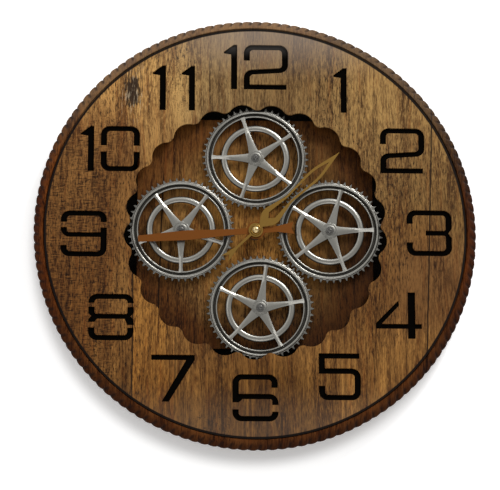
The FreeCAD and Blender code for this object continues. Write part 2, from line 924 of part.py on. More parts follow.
def hanger_rivets():
    source = new_body("hanger_rivets_pattern", listed=False)
    top = d.back_thickness
    turn(source, [
        (ZERO, ZERO),
        (d.rivet_head_radius, ZERO),
        (d.rivet_head_radius, d.rivet_head_height),
        (d.rivet_radius, d.rivet_head_height),
        (d.rivet_radius, top),
        (d.rivet_head_radius, top),
        (d.rivet_radius, top + d.rivet_head_height),
        (ZERO, top + d.rivet_head_height),
    ])
    grouped("hanger_rivets", source, [(x, z, 0) for x, z in rivet_places()])


# Gears on the front

def gear_root_radius():
    return d.gear_distance / 2 + d.gear_tip_height - d.gear_tooth_depth


def spoke_star(angle):
    reach = float(d.ring_lip_radius + d.ring_inner_radius) / 2 + float(d.end_play)
    tip_half = float(d.spoke_tip_half)
    root_half = float(d.spoke_root_half)
    half_pitch = math.pi / SPOKES
    taper = (root_half - tip_half) / reach
    meeting = root_half / (math.tan(half_pitch) + taper)
    pocket = meeting / math.cos(half_pitch)
    points = []
    for i in range(SPOKES):
        turned = i * 360 / SPOKES
        points += turned_points([(reach, -tip_half, 0), (reach, tip_half, 0)], turned)
        x, y = polar(pocket, turned + 180 / SPOKES)
        points.append((x, y, float(d.spoke_pocket_radius)))
    return rounded_loop(turned_points(points, angle))


def front_gear(side, tooth_angle):
    body = new_body(side + "_gear", GEAR_PLACES[side])
    base = gear_back
    root_radius = gear_root_radius()
    tip_radius = d.gear_distance / 2 + d.gear_tip_height
    crown = (d.ring_outer_radius + d.ring_groove_radius) / 2
    quarter = (d.ring_outer_radius - d.ring_groove_radius) / 4
    turn(body, [
        (d.ring_inner_radius, base + d.ring_low),
        (d.ring_outer_radius, base + d.ring_low),
        (d.ring_outer_radius, base + d.ring_side_height),
        (crown + quarter, base + d.ring_crown_height - d.ring_low),
        (crown, base + d.ring_crown_height),
        (crown - quarter, base + d.ring_crown_height - d.ring_low),
        (d.ring_groove_radius, base + d.ring_side_height),
        (d.ring_lip_radius, base + d.ring_side_height),
        (d.ring_lip_radius, base + d.ring_lip_height),
        (d.ring_inner_radius, base + d.ring_lip_height),
    ])
    teeth = new_sketch(body, base + d.tooth_low)
    shares = (TOOTH_ROOT_SHARE, TOOTH_TIP_SHARE)
    teeth.addGeometry(toothed_loop(GEAR_TEETH, root_radius, tip_radius, *shares, tooth_angle), False)
    circle(teeth, crown)
    pad(body, teeth, d.tooth_thickness)
    star = new_sketch(body, base + d.spoke_low)
    star.addGeometry(spoke_star(SPOKE_ANGLES[side]), False)
    pad(body, star, d.spoke_top - d.spoke_low)
    middle = (d.inner_ring_outer_radius + d.inner_ring_inner_radius) / 2
    turn(body, [
        (d.inner_ring_inner_radius, base + d.inner_ring_low),
        (d.inner_ring_outer_radius, base + d.inner_ring_low),
        (d.inner_ring_outer_radius, base + d.inner_ring_side),
        (middle, base + d.inner_ring_crown),
        (d.inner_ring_inner_radius, base + d.inner_ring_side),
    ])
    turn(body, [
        (ZERO, base),
        (d.gear_hub_radius - d.gear_hub_edge, base),
        (d.gear_hub_radius, base + d.gear_hub_edge),
        (d.gear_hub_radius, base + d.spoke_top - d.gear_hub_edge),
        (d.gear_hub_radius - d.gear_hub_edge, base + d.spoke_top + d.ring_low),
        (d.gear_boss_radius, base + d.spoke_top + d.ring_low),
        (d.gear_boss_radius, base + d.gear_hub_height),
        (ZERO, base + d.gear_hub_height),
    ])
    bore_through(body, d.journal_radius + d.running_gap, gear_back, gear_front)


def front_gears():
    angles = {"top": SPOKE_ANGLES["top"]}
    for leader, follower in (("top", "left"), ("top", "right"), ("right", "bottom")):
        direction = direction_between(GEAR_PLACES[leader], GEAR_PLACES[follower])
        angles[follower] = mesh_angle(angles[leader], GEAR_TEETH, GEAR_TEETH, direction)
    for side in SPOKE_ANGLES:
        front_gear(side, angles[side])


def gear_axles():
    body = new_body("gear_axle_pattern", listed=False)
    flange = panel_front + d.axle_flange_height
    shoulder = gear_back - d.end_play
    nose = gear_front + d.end_play
    turn(body, [
        (ZERO, panel_back - d.axle_stud_reach),
        (d.axle_stud_radius, panel_back - d.axle_stud_reach),
        (d.axle_stud_radius, panel_front),
        (d.axle_flange_radius, panel_front),
        (d.axle_flange_radius, flange),
        (d.axle_shoulder_radius, flange),
        (d.axle_shoulder_radius, shoulder),
        (d.journal_radius, shoulder),
        (d.journal_radius, nose),
        (ZERO, nose),
    ])
    gear_screw_hole(body, nose)
    grouped("gear_axles", body, [(*GEAR_PLACES[side], 0) for side in ("top", "left", "right")])


def gear_screw_hole(body, nose):
    low = nose - d.gear_screw_length
    drill(body, d.gear_screw_radius + d.fit_gap, low, d.gear_screw_length + d.overrun)


def hexagon(sketch, across):
    half = across / 2
    side = across / math.sqrt(3)
    polygon(sketch, [
        (side, ZERO), (side / 2, half), (-side / 2, half),
        (-side, ZERO), (-side / 2, -half), (side / 2, -half),
    ])


def nut_source(label, across, bore, low, height, place=CENTRE, listed=False):
    body = new_body(label, place, listed)
    sketch = new_sketch(body, low)
    hexagon(sketch, across)
    circle(sketch, bore)
    pad(body, sketch, height)
    return body


def axle_nuts():
    low = panel_back - d.axle_nut_height
    bore = d.axle_stud_radius + d.fit_gap
    source = nut_source("axle_nut_pattern", d.axle_nut_across, bore, low, d.axle_nut_height)
    grouped("axle_nuts", source, [(*GEAR_PLACES[side], 15) for side in ("top", "left", "right")])


def gear_washer_source(label, place=CENTRE, listed=False):
    body = new_body(label, place, listed)
    sketch = new_sketch(body, gear_front + d.end_play)
    circle(sketch, d.gear_washer_radius)
    circle(sketch, d.gear_screw_radius + d.hole_gap)
    pad(body, sketch, d.gear_washer_thickness)
    return body


def gear_screw_source(label, place=CENTRE, listed=False):
    body = new_body(label, place, listed)
    seat = gear_front + d.end_play + d.gear_washer_thickness
    top = seat + d.gear_screw_head_height
    tip = seat - d.gear_screw_length
    turn(body, [
        (ZERO, tip),
        (d.gear_screw_radius, tip),
        (d.gear_screw_radius, seat),
        (d.gear_screw_head_radius, seat),
        (d.gear_screw_head_radius, seat + d.gear_screw_head_height / 2),
        (d.gear_screw_radius, top),
        (ZERO, top),
    ])
    slot = new_sketch(body, top - d.screw_slot_depth)
    half = d.screw_slot_width / 2
    reach = d.gear_screw_head_radius + d.overrun
    rectangle(slot, -reach, -half, reach, half)
    cut(body, slot, d.screw_slot_depth + d.overrun)
    return body


def gear_fastenings():
    places = [(*GEAR_PLACES[side], 0) for side in ("top", "left", "right")]
    grouped("gear_washers", gear_washer_source("gear_washer_pattern"), places)
    turns = [(x, z, 40 + 55 * i) for i, (x, z, _) in enumerate(places)]
    grouped("gear_screws", gear_screw_source("gear_screw_pattern"), turns)
    gear_washer_source("bottom_gear_washer", DRIVE_PLACE, True)
    gear_screw_source("bottom_gear_screw", DRIVE_PLACE, True)


# Hands

HOUR_NECK_SHARE = 0.19
HOUR_BELLY_SHARE = 0.58
HOUR_TAIL_NECK_SHARE = 0.56
HOUR_NOTCH_SHARE = 0.93
MINUTE_BELLY_SHARE = 0.72
MINUTE_WAIST_SHARE = 0.39
MINUTE_BARB_SHARE = 0.19
MINUTE_BARB_BACK_SHARE = 0.14
MINUTE_BARB_BACK_WIDTH_SHARE = 0.90
MINUTE_SLOT_WAIST_SHARE = 0.80
MINUTE_SLOT_START_SHARE = 0.15
MINUTE_SLOT_END_SHARE = 0.87
TAIL_FORK_SHARE = 0.60
TAIL_NOTCH_SHARE = 0.84
DOME_SHOULDER_SHARES = (0.90, 0.60)
DOME_TOP_SHARES = (0.62, 0.88)
NUT_BORE_SHARE = 0.60


def hour_hand():
    body = new_body("hour_hand")
    length = float(d.hand_length)
    neck = float(d.hour_neck_half)
    tail = float(d.hour_tail_length)
    tail_half = float(d.hour_tail_half)
    tip = float(d.hour_tip_half)
    upper = [
        (length, tip, float(d.hour_hand_thickness)),
        (length * HOUR_BELLY_SHARE, float(d.hour_belly_half), length),
        (length * HOUR_NECK_SHARE, neck, 0),
        (-tail * HOUR_TAIL_NECK_SHARE, neck, 0),
        (-tail, tail_half, 0),
    ]
    lower = [(x, -y, r) for x, y, r in reversed(upper)]
    points = upper + [(-tail * HOUR_NOTCH_SHARE, 0, 0)] + lower
    sketch = new_sketch(body, d.hour_hand_depth)
    sketch.addGeometry(rounded_loop(turned_points(points, HOUR_HAND_ANGLE)), False)
    pad(body, sketch, d.hour_hand_thickness)
    disc(body, d.hour_disc_radius, d.hour_hand_depth, d.hour_hand_thickness)
    top = d.hour_hand_depth + d.hour_hand_thickness
    bore_through(body, d.hour_pipe_radius + d.fit_gap, d.hour_hand_depth, top)


def minute_hand():
    body = new_body("minute_hand")
    length = float(d.hand_length)
    rod = float(d.minute_rod_half)
    tail = float(d.minute_tail_length)
    belly = float(d.minute_belly_half)
    waist = float(d.minute_waist_half)
    barb = float(d.minute_barb_half)
    prong = float(d.minute_prong_width)
    upper = [
        (length * MINUTE_BELLY_SHARE, belly, length / 2),
        (length * MINUTE_WAIST_SHARE, waist, length / 4),
        (length * MINUTE_BARB_SHARE, barb, 0),
        (length * MINUTE_BARB_BACK_SHARE, barb * MINUTE_BARB_BACK_WIDTH_SHARE, 0),
        (float(d.minute_disc_radius), rod * 2, 0),
        (-float(d.minute_disc_radius), rod, 0),
        (-tail * TAIL_FORK_SHARE, rod, 0),
        (-tail, float(d.minute_tail_half), 0),
    ]
    lower = [(x, -y, r) for x, y, r in reversed(upper)]
    points = [(length, 0, 0)] + upper + [(-tail * TAIL_NOTCH_SHARE, 0, 0)] + lower
    slot_upper = [
        (length * MINUTE_BELLY_SHARE, belly - prong, length / 2),
        (length * MINUTE_WAIST_SHARE, waist - prong * MINUTE_SLOT_WAIST_SHARE, length / 4),
        (length * MINUTE_BARB_SHARE, waist, 0),
    ]
    slot_lower = [(x, -y, r) for x, y, r in reversed(slot_upper)]
    slot = [(length * MINUTE_SLOT_END_SHARE, 0, 0)] + slot_upper
    slot += [(length * MINUTE_SLOT_START_SHARE, 0, 0)] + slot_lower
    sketch = new_sketch(body, d.minute_hand_depth)
    sketch.addGeometry(rounded_loop(turned_points(points, MINUTE_HAND_ANGLE)), False)
    sketch.addGeometry(rounded_loop(turned_points(slot, MINUTE_HAND_ANGLE)), False)
    pad(body, sketch, d.minute_hand_thickness)
    disc(body, d.minute_disc_radius, d.minute_hand_depth, d.minute_hand_thickness)
    top = d.minute_hand_depth + d.minute_hand_thickness
    bore_through(body, d.minute_arbor_radius + d.fit_gap, d.minute_hand_depth, top)


def hand_collar():
    body = new_body("hand_collar")
    low = d.minute_hand_depth + d.minute_hand_thickness
    turn(body, [
        (d.minute_arbor_radius + d.fit_gap, low),
        (d.collar_radius, low),
        (d.collar_radius, low + d.collar_height / 2),
        (d.collar_radius - d.collar_height, low + d.collar_height),
        (d.cap_nut_radius + d.running_gap, low + d.collar_height),
        (d.cap_nut_radius + d.running_gap, low + d.collar_height / 2),
        (d.minute_arbor_radius + d.fit_gap, low + d.collar_height / 2),
    ])


def cap_nut():
    body = new_body("cap_nut")
    low = d.minute_hand_depth + d.minute_hand_thickness + d.collar_height / 2
    high = low + d.cap_nut_height
    turn(body, [
        (ZERO, low),
        (d.cap_nut_radius, low),
        (d.cap_nut_radius, low + d.cap_nut_skirt),
        (d.cap_nut_radius * DOME_SHOULDER_SHARES[0], low + d.cap_nut_height * DOME_SHOULDER_SHARES[1]),
        (d.cap_nut_radius * DOME_TOP_SHARES[0], low + d.cap_nut_height * DOME_TOP_SHARES[1]),
        (ZERO, high),
    ])
    bore = d.minute_arbor_radius + d.fit_gap
    drill(body, bore, low - d.overrun, d.overrun + d.cap_nut_height * NUT_BORE_SHARE)


# Box that holds a wheel train and a battery

def gear_room(margin):
    half = d.case_width / 2 - d.case_wall
    bay_top = -d.case_width / 2 + d.case_wall + d.bay_height
    return half - margin, bay_top + d.bay_wall + margin, half - margin


def module_case(label, place):
    body = new_body(label, place)
    sketch = new_sketch(body, case_back)
    sketch.addGeometry(rounded_rectangle(d.case_width, d.case_width, d.case_corner_radius, ZERO), False)
    pad(body, sketch, d.case_depth - d.plate_thickness)
    half, low, high = gear_room(ZERO)
    room = new_sketch(body, case_floor)
    rectangle(room, -half, low, half, high)
    cut(body, room, plate_back - case_floor + d.overrun)
    bay = new_sketch(body, case_back - d.overrun)
    bay_low = d.case_wall - d.case_width / 2
    rectangle(bay, -half, bay_low, half, bay_low + d.bay_height)
    cut(body, bay, d.case_depth + d.overrun)
    return body


def module_plate(label, place, bore):
    body = new_body(label, place)
    sketch = new_sketch(body, plate_back)
    sketch.addGeometry(rounded_rectangle(d.case_width, d.case_width, d.case_corner_radius, ZERO), False)
    circle(sketch, bore)
    pad(body, sketch, d.plate_thickness)
    return body


def battery_axis_place():
    rise = d.case_wall - d.case_width / 2 + d.bay_height / 2
    depth = case_back + d.contact_thickness + d.battery_radius
    return rise, depth


def module_battery(label, place):
    rise, depth = battery_axis_place()
    barrel = doc.addObject("Part::Cylinder", label + "_barrel")
    barrel.setExpression("Radius", d.battery_radius.text)
    barrel.setExpression("Height", (d.battery_length - d.battery_cap_length).text)
    cap = doc.addObject("Part::Cylinder", label + "_cap")
    cap.setExpression("Radius", d.battery_cap_radius.text)
    cap.setExpression("Height", d.battery_length.text)
    for item in (barrel, cap):
        item.Placement = FreeCAD.Placement(Vector(), FreeCAD.Rotation(Vector(0, 1, 0), 90))
        item.setExpression("Placement.Base.x", (place[0] - d.battery_length / 2).text)
        item.setExpression("Placement.Base.y", (-depth).text)
        item.setExpression("Placement.Base.z", (place[1] + rise).text)
    battery = doc.addObject("Part::Fuse", label)
    battery.Base = barrel
    battery.Tool = cap
    battery.Label = label
    PIECES.append(battery)


def module_contacts(label, place):
    rise, depth = battery_axis_place()
    wall = d.case_width / 2 - d.case_wall
    face = d.battery_length / 2 + d.fit_gap
    sides = []
    for name, sign in (("left", -1), ("right", 1)):
        plate = doc.addObject("Part::Box", f"{label}_{name}_plate")
        plate.setExpression("Length", d.contact_thickness.text)
        plate.setExpression("Width", (d.battery_radius * 2).text)
        plate.setExpression("Height", (d.battery_radius * 2).text)
        outer = place[0] + wall * sign
        left = outer if sign < 0 else outer - d.contact_thickness
        plate.setExpression("Placement.Base.x", left.text)
        plate.setExpression("Placement.Base.y", (-depth - d.battery_radius).text)
        plate.setExpression("Placement.Base.z", (place[1] + rise - d.battery_radius).text)
        button = doc.addObject("Part::Cylinder", f"{label}_{name}_button")
        button.Placement = FreeCAD.Placement(Vector(), FreeCAD.Rotation(Vector(0, 1, 0), 90))
        button.setExpression("Radius", d.contact_button_radius.text)
        button.setExpression("Height", (wall - face).text)
        start = place[0] - wall if sign < 0 else place[0] + face
        button.setExpression("Placement.Base.x", start.text)
        button.setExpression("Placement.Base.y", (-depth).text)
        button.setExpression("Placement.Base.z", (place[1] + rise).text)
        side = doc.addObject("Part::Fuse", f"{label}_{name}")
        side.Base = plate
        side.Tool = button
        sides.append(side)
    contacts = doc.addObject("Part::Compound", label)
    contacts.Links = sides
    contacts.Label = label
    PIECES.append(contacts)


def bushing(label, place, radius, bore, reach):
    body = new_body(label, place)
    low = plate_back - d.bushing_flange_height
    turn(body, [
        (bore, low),
        (d.bushing_flange_radius, low),
        (d.bushing_flange_radius, plate_back),
        (radius, plate_back),
        (radius, panel_front + reach),
        (bore, panel_front + reach),
    ])


# Toothed wheels of the movement and the drive

def wheel(body, teeth, module, low, height, angle):
    sketch = new_sketch(body, low)
    pitch_radius = float(module) * teeth / 2
    tip = pitch_radius + ADDENDUM_SHARE * float(module)
    foot = pitch_radius - DEDENDUM_SHARE * float(module)
    sketch.addGeometry(toothed_loop(teeth, foot, tip, WHEEL_ROOT_SHARE, WHEEL_TIP_SHARE, angle), False)
    pad(body, sketch, height)


def beside(place, distance, angle):
    x, z = polar(1, angle)
    return (place[0] + distance * x, place[1] + distance * z)


MOTION_ANGLE = 135
THIRD_ANGLE = 0
INTERMEDIATE_ANGLE = 60
SETTING_ANGLE = 200
REDUCTION_ANGLE = 135
MOTOR_ANGLE = 30

CENTRE_TEETH, THIRD_PINION = 64, 8
THIRD_TEETH, SECONDS_PINION = 60, 8
SECONDS_TEETH, INTERMEDIATE_PINION = 60, 10
INTERMEDIATE_TEETH, ROTOR_PINION = 50, 10
CANNON_TEETH, MOTION_TEETH = 12, 36
MOTION_PINION, HOUR_TEETH = 10, 40
SETTING_TEETH = 12
OUTPUT_TEETH, REDUCTION_PINION = 48, 12
REDUCTION_TEETH, MOTOR_PINION = 40, 10

third_distance = d.fine_module * ((CENTRE_TEETH + THIRD_PINION) / 2)
third_module = third_distance * (2 / (THIRD_TEETH + SECONDS_PINION))
intermediate_distance = d.fine_module * ((SECONDS_TEETH + INTERMEDIATE_PINION) / 2)
rotor_distance = d.fine_module * ((INTERMEDIATE_TEETH + ROTOR_PINION) / 2)
motion_distance = d.motion_module * ((CANNON_TEETH + MOTION_TEETH) / 2)
setting_distance = d.motion_module * ((SETTING_TEETH + MOTION_TEETH) / 2)
reduction_distance = d.drive_module * ((OUTPUT_TEETH + REDUCTION_PINION) / 2)
motor_distance = d.drive_module * ((REDUCTION_TEETH + MOTOR_PINION) / 2)

THIRD_PLACE = beside(CENTRE, third_distance, THIRD_ANGLE)
INTERMEDIATE_PLACE = beside(CENTRE, intermediate_distance, INTERMEDIATE_ANGLE)
ROTOR_PLACE = beside(INTERMEDIATE_PLACE, rotor_distance, INTERMEDIATE_ANGLE)
MOTION_PLACE = beside(CENTRE, motion_distance, MOTION_ANGLE)
SETTING_PLACE = beside(MOTION_PLACE, setting_distance, SETTING_ANGLE)
REDUCTION_PLACE = beside(DRIVE_PLACE, reduction_distance, REDUCTION_ANGLE)
MOTOR_PLACE = beside(REDUCTION_PLACE, motor_distance, MOTOR_ANGLE)

seconds_low = case_back + d.seconds_level
intermediate_low = case_back + d.intermediate_level
third_low = case_back + d.third_level
centre_low = case_back + d.centre_level
motion_low = case_back + d.motion_level
hour_low = case_back + d.hour_level
rotor_low = case_back + d.rotor_level
stator_low = rotor_low + d.magnet_height / 2 - d.stator_thickness / 2


# The centre wheel grips the minute shaft by friction, so setting the hands leaves the train still
def centre_wheel():
    body = new_body("centre_wheel")
    wheel(body, CENTRE_TEETH, d.fine_module, centre_low, d.wheel_thickness, 0)
    bore_through(body, d.minute_arbor_radius + d.fit_gap, centre_low, centre_low + d.wheel_thickness)


def minute_shaft():
    body = new_body("minute_shaft")
    top = d.minute_hand_depth + d.minute_hand_thickness + d.collar_height / 2 + d.cap_nut_height / 2
    disc(body, d.minute_arbor_radius, centre_low, top - centre_low)
    flange = centre_low + d.wheel_thickness + d.fit_gap
    disc(body, d.clutch_flange_radius, flange, d.clutch_flange_height)
    wheel(body, CANNON_TEETH, d.motion_module, motion_low, d.heavy_thickness, 0)


def motion_wheel():
    body = new_body("minute_work_wheel", MOTION_PLACE)
    angle = mesh_angle(0, CANNON_TEETH, MOTION_TEETH, MOTION_ANGLE)
    wheel(body, MOTION_TEETH, d.motion_module, motion_low, d.heavy_thickness, angle)
    wheel(body, MOTION_PINION, d.hour_module, motion_low + d.heavy_thickness, hour_low - motion_low, 0)
    low = motion_low
    high = hour_low + d.heavy_thickness
    bore_through(body, d.heavy_pivot_radius + d.running_gap, low, high)


def hour_wheel():
    body = new_body("hour_wheel")
    angle = mesh_angle(0, MOTION_PINION, HOUR_TEETH, MOTION_ANGLE + 180)
    wheel(body, HOUR_TEETH, d.hour_module, hour_low, d.wheel_thickness, angle)
    top = d.hour_hand_depth + d.hour_hand_thickness
    disc(body, d.hour_pipe_radius, hour_low, top - hour_low)
    bore_through(body, d.minute_arbor_radius + d.running_gap, hour_low, top)


def third_wheel():
    body = new_body("third_wheel", THIRD_PLACE)
    pinion_angle = mesh_angle(0, CENTRE_TEETH, THIRD_PINION, THIRD_ANGLE)
    wheel(body, THIRD_TEETH, third_module, third_low, d.wheel_thickness, 0)
    top = centre_low + d.wheel_thickness
    wheel(body, THIRD_PINION, d.fine_module, third_low + d.wheel_thickness, top - third_low, pinion_angle)
    bore_through(body, d.pivot_radius + d.running_gap, third_low, top + d.wheel_thickness)


def seconds_wheel():
    body = new_body("seconds_wheel")
    pinion_angle = mesh_angle(0, THIRD_TEETH, SECONDS_PINION, THIRD_ANGLE + 180)
    wheel(body, SECONDS_TEETH, d.fine_module, seconds_low, d.wheel_thickness, 0)
    top = third_low + d.wheel_thickness + d.running_gap
    low = seconds_low + d.wheel_thickness
    wheel(body, SECONDS_PINION, third_module, low, top - low, pinion_angle)
    bore_through(body, d.pivot_radius + d.running_gap, seconds_low, top)


def intermediate_wheel():
    body = new_body("intermediate_wheel", INTERMEDIATE_PLACE)
    pinion_angle = mesh_angle(0, SECONDS_TEETH, INTERMEDIATE_PINION, INTERMEDIATE_ANGLE)
    wheel(body, INTERMEDIATE_TEETH, d.fine_module, intermediate_low, d.wheel_thickness, 0)
    low = seconds_low
    wheel(body, INTERMEDIATE_PINION, d.fine_module, low, intermediate_low - low, pinion_angle)
    bore_through(body, d.pivot_radius + d.running_gap, low, intermediate_low + d.wheel_thickness)


def rotor():
    body = new_body("rotor", ROTOR_PLACE)
    pinion_angle = mesh_angle(0, INTERMEDIATE_TEETH, ROTOR_PINION, INTERMEDIATE_ANGLE)
    low = intermediate_low - d.wheel_thickness / 2
    wheel(body, ROTOR_PINION, d.fine_module, low, rotor_low - low, pinion_angle)
    disc(body, d.magnet_radius, rotor_low, d.magnet_height)
    bore_through(body, d.pivot_radius + d.running_gap, low, rotor_low + d.magnet_height)


def setting_knob():
    body = new_body("setting_knob", SETTING_PLACE)
    low = case_back - d.knob_height - d.end_play
    ribs = new_sketch(body, low)
    foot = d.knob_radius - d.case_wall / 2
    outline = toothed_loop(KNOB_RIBS, foot, d.knob_radius, RIB_ROOT_SHARE, RIB_TIP_SHARE, 0)
    ribs.addGeometry(outline, False)
    pad(body, ribs, d.knob_height)
    disc(body, d.knob_stem_radius, low, motion_low - low + d.heavy_thickness)
    leader = mesh_angle(0, CANNON_TEETH, MOTION_TEETH, MOTION_ANGLE)
    angle = mesh_angle(leader, MOTION_TEETH, SETTING_TEETH, SETTING_ANGLE)
    wheel(body, SETTING_TEETH, d.motion_module, motion_low, d.heavy_thickness, angle)


# Fixed pins on the floor of the case: one for each wheel that turns on a bore, two under the stator
def movement_pivots():
    pins = [
        (CENTRE, d.pivot_radius, third_low + d.wheel_thickness),
        (THIRD_PLACE, d.pivot_radius, centre_low + d.wheel_thickness * 2),
        (INTERMEDIATE_PLACE, d.pivot_radius, intermediate_low + d.wheel_thickness * 2),
        (ROTOR_PLACE, d.pivot_radius, plate_back),
        (MOTION_PLACE, d.heavy_pivot_radius, plate_back),
    ]
    leg = d.stator_half_width - d.stator_leg_width / 2
    level = (d.stator_top + d.stator_bar_high) / 2
    pins += [((leg * side, level), d.heavy_pivot_radius, stator_low) for side in (-1, 1)]
    pin_group("movement_pivots", pins)


def pin_group(label, pins):
    parts = []
    for i, (place, radius, top) in enumerate(pins):
        pin = doc.addObject("Part::Cylinder", f"{label}_{i}")
        pin.Placement = FreeCAD.Placement(Vector(), FreeCAD.Rotation(Vector(1, 0, 0), 90))
        pin.setExpression("Radius", radius.text)
        pin.setExpression("Height", (top - case_floor).text)
        pin.setExpression("Placement.Base.x", place[0].text)
        pin.setExpression("Placement.Base.y", (-case_floor).text)
        pin.setExpression("Placement.Base.z", place[1].text)
        parts.append(pin)
    group = doc.addObject("Part::Compound", label)
    group.Links = parts
    group.Label = label
    PIECES.append(group)


def stator():
    body = new_body("stator")
    sketch = new_sketch(body, stator_low)
    half = d.stator_half_width
    leg = half - d.stator_leg_width
    rectangle(sketch, -half, d.stator_bar_low, half, d.stator_top)
    rectangle(sketch, -leg, d.stator_bar_high, leg, d.stator_top_low)
    pad(body, sketch, d.stator_thickness)
    top = stator_low + d.stator_thickness
    bore_through(body, d.magnet_radius + d.magnet_gap, stator_low, top, *ROTOR_PLACE)


def coil():
    body = new_body("coil")
    middle = rotor_low + d.magnet_height / 2
    centre = (d.stator_top + d.stator_top_low) / 2
    half = d.coil_half_height
    sketch = new_sketch(body, middle - half)
    rectangle(sketch, -d.coil_half_length, centre - half, d.coil_half_length, centre + half)
    pad(body, sketch, half * 2)
    gap = d.stator_thickness / 2 + d.coil_gap
    core = new_sketch(body, middle - gap)
    reach = d.coil_half_length + d.overrun
    rectangle(core, -reach, d.stator_top_low - d.coil_gap, reach, d.stator_top + d.coil_gap)
    cut(body, core, gap * 2)


def circuit_board():
    body = new_body("circuit_board")
    sketch = new_sketch(body, case_floor)
    rectangle(sketch, d.board_left, d.board_low, d.board_right, d.board_high)
    pad(body, sketch, d.board_thickness)
    top = case_floor + d.board_thickness
    chip = new_sketch(body, top)
    circle(chip, d.chip_radius, (d.board_left + d.board_right) / 2, ZERO + d.chip_radius)
    pad(body, chip, d.chip_height)
    crystal = new_sketch(body, top)
    middle = (d.board_left + d.board_right) / 2
    low = d.board_low + d.crystal_radius
    half = d.crystal_length / 2
    rectangle(crystal, middle - half, low, middle + half, low + d.crystal_radius * 2)
    pad(body, crystal, d.crystal_radius * 2)


def movement():
    case = module_case("movement_case", CENTRE)
    bore_through(case, d.knob_stem_radius + d.running_gap, case_back, case_floor, *SETTING_PLACE)
    module_plate("movement_plate", CENTRE, d.bushing_radius + d.fit_gap)
    module_battery("movement_battery", CENTRE)
    module_contacts("movement_contacts", CENTRE)
    pipe_bore = d.hour_pipe_radius + d.running_gap
    bushing("movement_bushing", CENTRE, d.bushing_radius, pipe_bore, d.bushing_reach)
    washer = new_body("bushing_washer")
    sketch = new_sketch(washer, panel_front)
    circle(sketch, d.bushing_washer_radius)
    circle(sketch, d.bushing_radius + d.hole_gap)
    pad(washer, sketch, d.bushing_washer_thickness)
    nut_low = panel_front + d.bushing_washer_thickness
    bore = d.bushing_radius + d.fit_gap
    nut_source("bushing_nut", d.bushing_nut_across, bore, nut_low, d.bushing_nut_height, CENTRE, True)
    movement_pivots()
    rotor()
    intermediate_wheel()
    seconds_wheel()
    third_wheel()
    centre_wheel()
    minute_shaft()
    motion_wheel()
    hour_wheel()
    setting_knob()
    stator()
    coil()
    circuit_board()


# Gear drive behind the bottom gear

reduction_low = case_back + d.reduction_level
output_low = case_back + d.output_level


def output_wheel():
    body = new_body("output_wheel", DRIVE_PLACE)
    nose = gear_front + d.end_play
    disc(body, d.journal_radius, output_low, nose - output_low)
    angle = mesh_angle(0, REDUCTION_PINION, OUTPUT_TEETH, REDUCTION_ANGLE + 180)
    wheel(body, OUTPUT_TEETH, d.drive_module, output_low, d.heavy_thickness, angle)
    gear_screw_hole(body, nose)


def reduction_wheel():
    body = new_body("reduction_wheel", REDUCTION_PLACE)
    angle = mesh_angle(0, MOTOR_PINION, REDUCTION_TEETH, MOTOR_ANGLE + 180)
    wheel(body, REDUCTION_TEETH, d.drive_module, reduction_low, d.heavy_thickness, angle)
    low = reduction_low + d.heavy_thickness
    high = output_low + d.heavy_thickness
    wheel(body, REDUCTION_PINION, d.drive_module, low, high - low, 0)
    bore_through(body, d.heavy_pivot_radius + d.running_gap, reduction_low, high)


def drive_motor():
    body = new_body("drive_motor", MOTOR_PLACE)
    top = case_floor + d.motor_length
    bore = d.motor_shaft_radius + d.running_gap
    inner = d.motor_radius - d.motor_wall
    turn(body, [
        (ZERO, case_floor),
        (d.motor_radius, case_floor),
        (d.motor_radius, top),
        (bore, top),
        (bore, top - d.motor_wall),
        (inner, top - d.motor_wall),
        (inner, case_floor + d.motor_wall),
        (ZERO, case_floor + d.motor_wall),
    ])


def drive_rotor():
    body = new_body("drive_rotor", MOTOR_PLACE)
    low = case_floor + d.motor_wall + d.end_play
    top = reduction_low + d.heavy_thickness
    disc(body, d.motor_shaft_radius, low, top - low)
    disc(body, d.armature_radius, low + d.motor_wall, d.armature_length)
    wheel(body, MOTOR_PINION, d.drive_module, reduction_low, d.heavy_thickness, 0)


def switch_slot(margin_x, margin_y):
    half_x = d.switch_length / 2 + margin_x
    half_y = d.switch_width / 2 + margin_y
    x, y = d.switch_offset, d.switch_height
    return x - half_x, y - half_y, x + half_x, y + half_y


def drive_switch():
    body = new_body("drive_switch", DRIVE_PLACE)
    stem = new_sketch(body, case_back - d.switch_rise)
    rectangle(stem, *switch_slot(ZERO, ZERO))
    pad(body, stem, d.switch_rise + d.case_wall + d.end_play)
    flange = new_sketch(body, case_floor + d.end_play)
    rectangle(flange, *switch_slot(d.switch_flange, d.switch_flange))
    pad(body, flange, d.switch_flange)


def drive():
    case = module_case("drive_case", DRIVE_PLACE)
    slot = new_sketch(case, case_back - d.overrun)
    rectangle(slot, *switch_slot(d.switch_travel + d.switch_gap, d.switch_gap))
    cut(case, slot, d.case_wall + d.overrun * 2)
    module_plate("drive_plate", DRIVE_PLACE, d.drive_bushing_radius + d.fit_gap)
    module_battery("drive_battery", DRIVE_PLACE)
    module_contacts("drive_contacts", DRIVE_PLACE)
    bore = d.journal_radius + d.running_gap
    bushing("drive_bushing", DRIVE_PLACE, d.drive_bushing_radius, bore, d.drive_bushing_reach)
    nut_bore = d.drive_bushing_radius + d.fit_gap
    height = d.bushing_nut_height
    nut_source("drive_nut", d.drive_nut_across, nut_bore, panel_front, height, DRIVE_PLACE, True)
    pin_group("drive_pivot", [(REDUCTION_PLACE, d.heavy_pivot_radius, plate_back)])
    output_wheel()
    reduction_wheel()
    drive_motor()
    drive_rotor()
    drive_switch()


